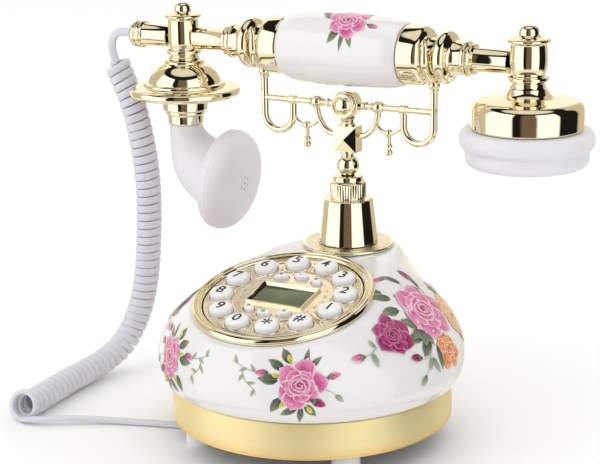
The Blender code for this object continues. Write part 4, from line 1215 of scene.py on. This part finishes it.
def stroke(page, points, width, tone):
    """A thin painted line that tapers to its end."""
    line = smooth_route([(p[0], p[1], 0.0) for p in points], steps=5)
    rows = [[], []]
    for i, point in enumerate(line):
        heading = line[min(i + 1, len(line) - 1)] - line[max(i - 1, 0)]
        side = Vector((-heading.y, heading.x)).normalized() * width / 2 * (1.15 - 0.8 * i / len(line))
        rows[0].append((point.x + side.x, point.y + side.y))
        rows[1].append((point.x - side.x, point.y - side.y))
    page.patch(rows, [[tone] * len(line)] * 2)


def bud(page, at, degrees, size, tones=PINK, seed=3):
    """A closed bud on a green cup."""
    back, _ = heading_of(degrees)
    petal(page, at, degrees, size, size * 0.62, tones, widest=0.9, blunt=0.55, seed=seed)
    petal(page, at, degrees + 7, size * 0.86, size * 0.3, tones, widest=0.9, seed=seed + 4)
    foot = Vector(at) - back * size * 0.16
    for turn in (-26, 0, 26):
        petal(page, foot, degrees + turn, size * 0.45, size * 0.17, LEAF, widest=0.8, seed=seed + 2)


def sprig(page, points, seed=5):
    """A pale twig with small leaves on both sides."""
    stroke(page, points, 0.45, PALE_LEAF["mid"])
    line = smooth_route([(p[0], p[1], 0.0) for p in points], steps=4)
    for i in range(2, len(line) - 2, 3):
        heading = line[i + 1] - line[i]
        degrees = math.degrees(math.atan2(heading.y, heading.x)) + (48 if i % 2 else -52)
        leaf(page, (line[i].x, line[i].y), degrees, 4.2, 1.6, PALE_LEAF, seed=seed + i)


def small_spray(page, bearing, height, mirror=1, tones=PINK, seed=1):
    """A single rose with leaves, three buds and two sprigs."""
    page.look_at(*from_side(bearing, height), mirror=mirror)
    for at, degrees, length, width in (
        ((-3, 9), 118, 7.5, 4.6), ((-6, 6), 148, 8.5, 4.6), ((-9, 1), 178, 9.5, 5.4),
        ((-8, -8), 236, 8.0, 4.6), ((0, -12), 205, 9.0, 3.6), ((2, -12), 262, 7.5, 3.0),
        ((4, -11), 315, 7.0, 4.0), ((4, 8), 78, 8.0, 2.6), ((6, 7), 40, 7.5, 3.0),
    ):
        leaf(page, at, degrees, length, width, seed=seed + degrees)
    for at, degrees in (((-2.5, 8.5), 105), ((-7.5, 2.5), 165), ((-5, -9), 225), ((4.5, -11), 305)):
        petal(page, at, degrees, 4.4, 2.2, YELLOW, seed=seed + 0.5 * degrees)
    sprig(page, [(-17, 4), (-22, 5), (-28, 8), (-30, 9)], seed)
    sprig(page, [(-26, 6), (-24, 0), (-20, -4), (-19, -7)], seed + 2)
    stroke(page, [(10, 1), (13, 2.0), (15, 2.4)], 0.5, PALE_LEAF["deep"])
    stroke(page, [(10, -3), (15, -4), (19, -6.5)], 0.45, PALE_LEAF["mid"])
    leaf(page, (18, -6), -42, 5.0, 2.6, PALE_LEAF)
    bud(page, (-14, 4.2), 184, 5.6, tones, seed)
    bud(page, (15, 2.4), 16, 5.6, tones, seed + 1)
    rose(page, (1.5, -1.5), 12.0, tones, turn=22, seed=seed)
    bud(page, (7.5, -8.5), -22, 6.4, ROSE, seed + 2)


def bouquet(page, side=1):
    """The large bouquet on the body's flank: three roses, an amber one, buds and leaves."""

    def look(bearing, height):
        page.look_at(*from_side(bearing if side > 0 else 180 - bearing, height), mirror=side)

    look(-12, 77)
    leaf(page, (4, 2), 150, 13.0, 6.0, seed=1)
    leaf(page, (3, 7), 120, 14.0, 5.0, seed=2)
    look(-17, 74)
    leaf(page, (7, 0), 172, 12.0, 6.0, seed=3)
    look(14, 83)
    stroke(page, [(2, -6), (-3, 0), (-6, 3)], 0.5, PALE_LEAF["deep"])
    bud(page, (-5, 2), 150, 6.5, PINK, 7)
    leaf(page, (2, -4), 128, 11.0, 3.6, seed=4)
    look(30, 79.5)
    stroke(page, [(-6, -10), (-3, -4), (-2, 0)], 0.5, PALE_LEAF["deep"])
    bud(page, (-2, 0), 100, 8.5, ROSE, 8)
    leaf(page, (-4, -5), 70, 9.0, 3.2, seed=6)
    leaf(page, (-6, -6), 140, 10.0, 3.2, seed=7)
    look(36, 72)
    bud(page, (0, 0), 88, 6.0, PINK, 9)
    leaf(page, (0, -3), 120, 8.0, 3.0, seed=8)
    leaf(page, (2, -4), 50, 8.0, 3.0, seed=9)
    look(-4, 64)
    leaves(page, [((-2, 4), 140, 11, 6), ((-6, 0), 185, 10, 6), ((-3, -4), 215, 11, 6)])
    leaves(page, [((2, -8), 250, 12, 5.5), ((4, -6), 300, 11, 5.5)])
    look(27, 61)
    leaf(page, (6, -8), -60, 10.0, 4.5, seed=11)
    leaf(page, (9, 0), 10, 9.0, 4.5, seed=12)
    leaf(page, (6, 9), 55, 9.0, 4.0, seed=13)
    rose(page, (0, 0), 13.5, AMBER, turn=12, seed=14)
    look(2, 54)
    rose(page, (1, 0), 9.5, FLAME, turn=40, seed=15)
    look(-6, 66)
    leaves(page, [((0, 0), degrees, 11.0, 5.0) for degrees in (60, 95, 130, 200, 240, 275)])
    look(6.5, 70.5)
    rose(page, (0, 0), 18.0, PINK, turn=5, seed=16)
    look(-24, 67)
    rose(page, (0, 0), 11.5, ROSE, turn=25, seed=17)
    look(-44, 61.5)
    stroke(page, [(12, 4), (8, 1), (3, 0)], 0.5, PALE_LEAF["mid"])
    bud(page, (4, 0), 183, 6.4, PINK, 18)
    leaf(page, (9, 1), 285, 7.0, 2.8, PALE_LEAF, seed=19)
    leaf(page, (11, 4), 120, 5.0, 1.8, PALE_LEAF, seed=20)
    look(-16, 55)
    stroke(page, [(8, 3), (4, 0), (0, 0)], 0.5, PALE_LEAF["mid"])
    bud(page, (0, 1), 165, 6.0, ROSE, 21)
    stroke(page, [(8, 2), (4, -4), (0, -8)], 0.45, PALE_LEAF["mid"])
    leaf(page, (7, -1), 240, 6.0, 2.2, PALE_LEAF, seed=22)
    leaf(page, (8, -1), 292, 8.0, 2.8, PALE_LEAF, seed=23)
    bud(page, (0, -8), 235, 4.5, PALE_LEAF, 24)


def from_side(bearing, height):
    """A ray that comes level at the body's axis from outside."""
    out = Vector(polar(1, bearing))
    return out * 150 + UP * height, -out


def paint_body(body):
    sprays = ((-66, 1, 1), (-124, -1, 5), (62, -1, 9), (118, 1, 13))
    for i, (bearing, mirror, seed) in enumerate(sprays):
        page = Painting(body)
        small_spray(page, bearing, 53, mirror=mirror, seed=seed)
        page.finish(f"body_spray_{i + 1}", "base")
    for name, side in (("right", 1), ("left", -1)):
        page = Painting(body)
        bouquet(page, side=side)
        page.finish(f"body_bouquet_{name}", "base")


def paint_grip(grip):
    for name, degrees, hand in (("front", 62, 1), ("back", 242, -1)):
        page = Painting(grip)
        away = Vector((0, -cos(radians(degrees)), sin(radians(degrees))))
        up = Vector((0, sin(radians(degrees)), cos(radians(degrees))))
        page.look_at(Vector((5.5 * hand, COLUMN_Y, HANDSET_Z)) + away * 60, -away, up=up)
        leaves(page, [((-3, -6), 235, 8.0, 4.6), ((0, -8), 265, 7.0, 2.6), ((2, -7), 300, 7.5, 3.2)])
        leaves(page, [((-7, 2), 170, 8.5, 4.6), ((-4, 8), 130, 8.0, 4.0), ((5, 8), 50, 8.0, 4.0)])
        stroke(page, [(8, 0), (11, -1.5), (13, -2)], 0.5, PALE_LEAF["deep"])
        bud(page, (12, -2), -12, 5.6, PINK, 31)
        bud(page, (-12, 5), 160, 5.6, ROSE, 32)
        rose(page, (0, 0.5), 11.0, PINK, turn=40, seed=33)
        page.finish(f"grip_rose_{name}", "handset")


# ---- hidden pieces

FINISHES = {
    "base_plate": DARK, "main_board": BOARD, "ringer_speaker": DARK, "jack_block": DARK,
    "hook_switch": DARK, "hook_spring": STEEL, "display_panel": DARK, "key_mat": GREY_RUBBER,
    "keypad_board": BOARD, "core_tube": STEEL, "microphone": DARK, "receiver": DARK,
    "cord_plug": CLEAR,
}


def dress_cad_nodes():
    """Materials for the CAD nodes that stay: the pieces inside the base and handset."""
    for name, material in FINISHES.items():
        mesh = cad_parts[name].data
        mesh.materials.clear()
        mesh.materials.append(material)


# ---- studio

WHITE_BOX = (1.35, 1.31, 1.22)
CREAM = (1.10, 1.02, 0.88)
WARM_WALL = (0.62, 0.54, 0.40)
BROWN = (0.17, 0.115, 0.08)
BLACK = (0.012, 0.011, 0.01)
TABLE = (0.98, 0.92, 0.76)
CEILING = (0.80, 0.76, 0.66)
SOFT_WHITE = (1.06, 1.06, 1.07)
NO = (0, 0, 0)
YES = (1, 1, 1)

# Where each colour of the walls starts and ends, as shares of a turn.
WALLS = (
    (0.000, 0.050, WARM_WALL), (0.065, 0.222, WHITE_BOX), (0.232, 0.270, BLACK),
    (0.285, 0.360, BROWN), (0.375, 0.495, WHITE_BOX), (0.505, 0.640, BLACK),
    (0.660, 0.760, WARM_WALL), (0.790, 0.925, CREAM), (0.960, 1.000, WARM_WALL),
)

# What lies over the walls, and where it shows, by height from 0 below to 1 above.
LEVELS = (
    (TABLE, ((0.26, YES), (0.32, NO))),
    (BROWN, ((0.15, NO), (0.165, YES), (0.195, YES), (0.21, NO))),
    (BLACK, ((0.855, NO), (0.87, YES))),
    (CEILING, ((0.935, NO), (0.95, YES))),
)


def make_surroundings():
    """Soft even light all round, and for the mirror finish a studio of softboxes and dark gaps."""
    world = bpy.data.worlds.new("studio")
    bpy.context.scene.world = world
    world.use_nodes = True
    tree = world.node_tree
    direction = node(tree, "TexCoord", {})["Generated"]
    split = node(tree, "SeparateXYZ", {"Vector": direction})
    bearing = node(tree, "Math", {0: split["Y"], 1: split["X"]}, operation="ARCTAN2")["Value"]
    stops = [(place_on, colour) for start, end, colour in WALLS for place_on in (start, end)]
    view = ramp_of(tree, spread(tree, bearing, -pi, pi), stops)
    height = spread(tree, split["Z"], -1.0, 1.0)
    for colour, stops in LEVELS:
        view = blend_of(tree, ramp_of(tree, height, stops), view, colour)
    mirrored = node(tree, "LightPath", {})["Is Glossy Ray"]
    feed(tree.nodes["Background"], {"Color": blend_of(tree, mirrored, SOFT_WHITE, view)})


def make_studio():
    bm = bmesh.new()
    bmesh.ops.create_grid(bm, x_segments=1, y_segments=1, size=6.0)
    floor_mesh = bpy.data.meshes.new("floor")
    bm.to_mesh(floor_mesh)
    bm.free()
    floor = add("floor", floor_mesh)
    floor_mesh.materials.append(surface("floor_white", (0.93, 0.93, 0.93), 0.6, 0.0, 0.01, 400.0))
    floor.visible_glossy = False
    make_surroundings()
    for name, at, power in (("key_light", (-1.0, -1.3, 1.0), 5.0), ("back_light", (0.6, 1.2, 1.4), 3.0)):
        data = bpy.data.lights.new(name, "AREA")
        data.size = 1.2
        data.energy = power
        light = add(name, data)
        light.visible_glossy = False
        light.location = at
        aim = UP * 0.1 - Vector(at)
        light.rotation_euler = aim.to_track_quat("-Z", "Y").to_euler()
    bpy.context.scene.view_settings.view_transform = "Standard"


# ---- build

make_camera()
make_cord()
glazed_body = make_body()
make_band()
make_bezel()
make_plate()
make_display()
make_keys()
make_column()
make_post()
make_cradle()
glazed_grip = make_grip()
make_arms()
make_posts()
make_mouthpiece()
make_earpiece()
paint_body(glazed_body)
paint_grip(glazed_grip)
dress_cad_nodes()
make_studio()
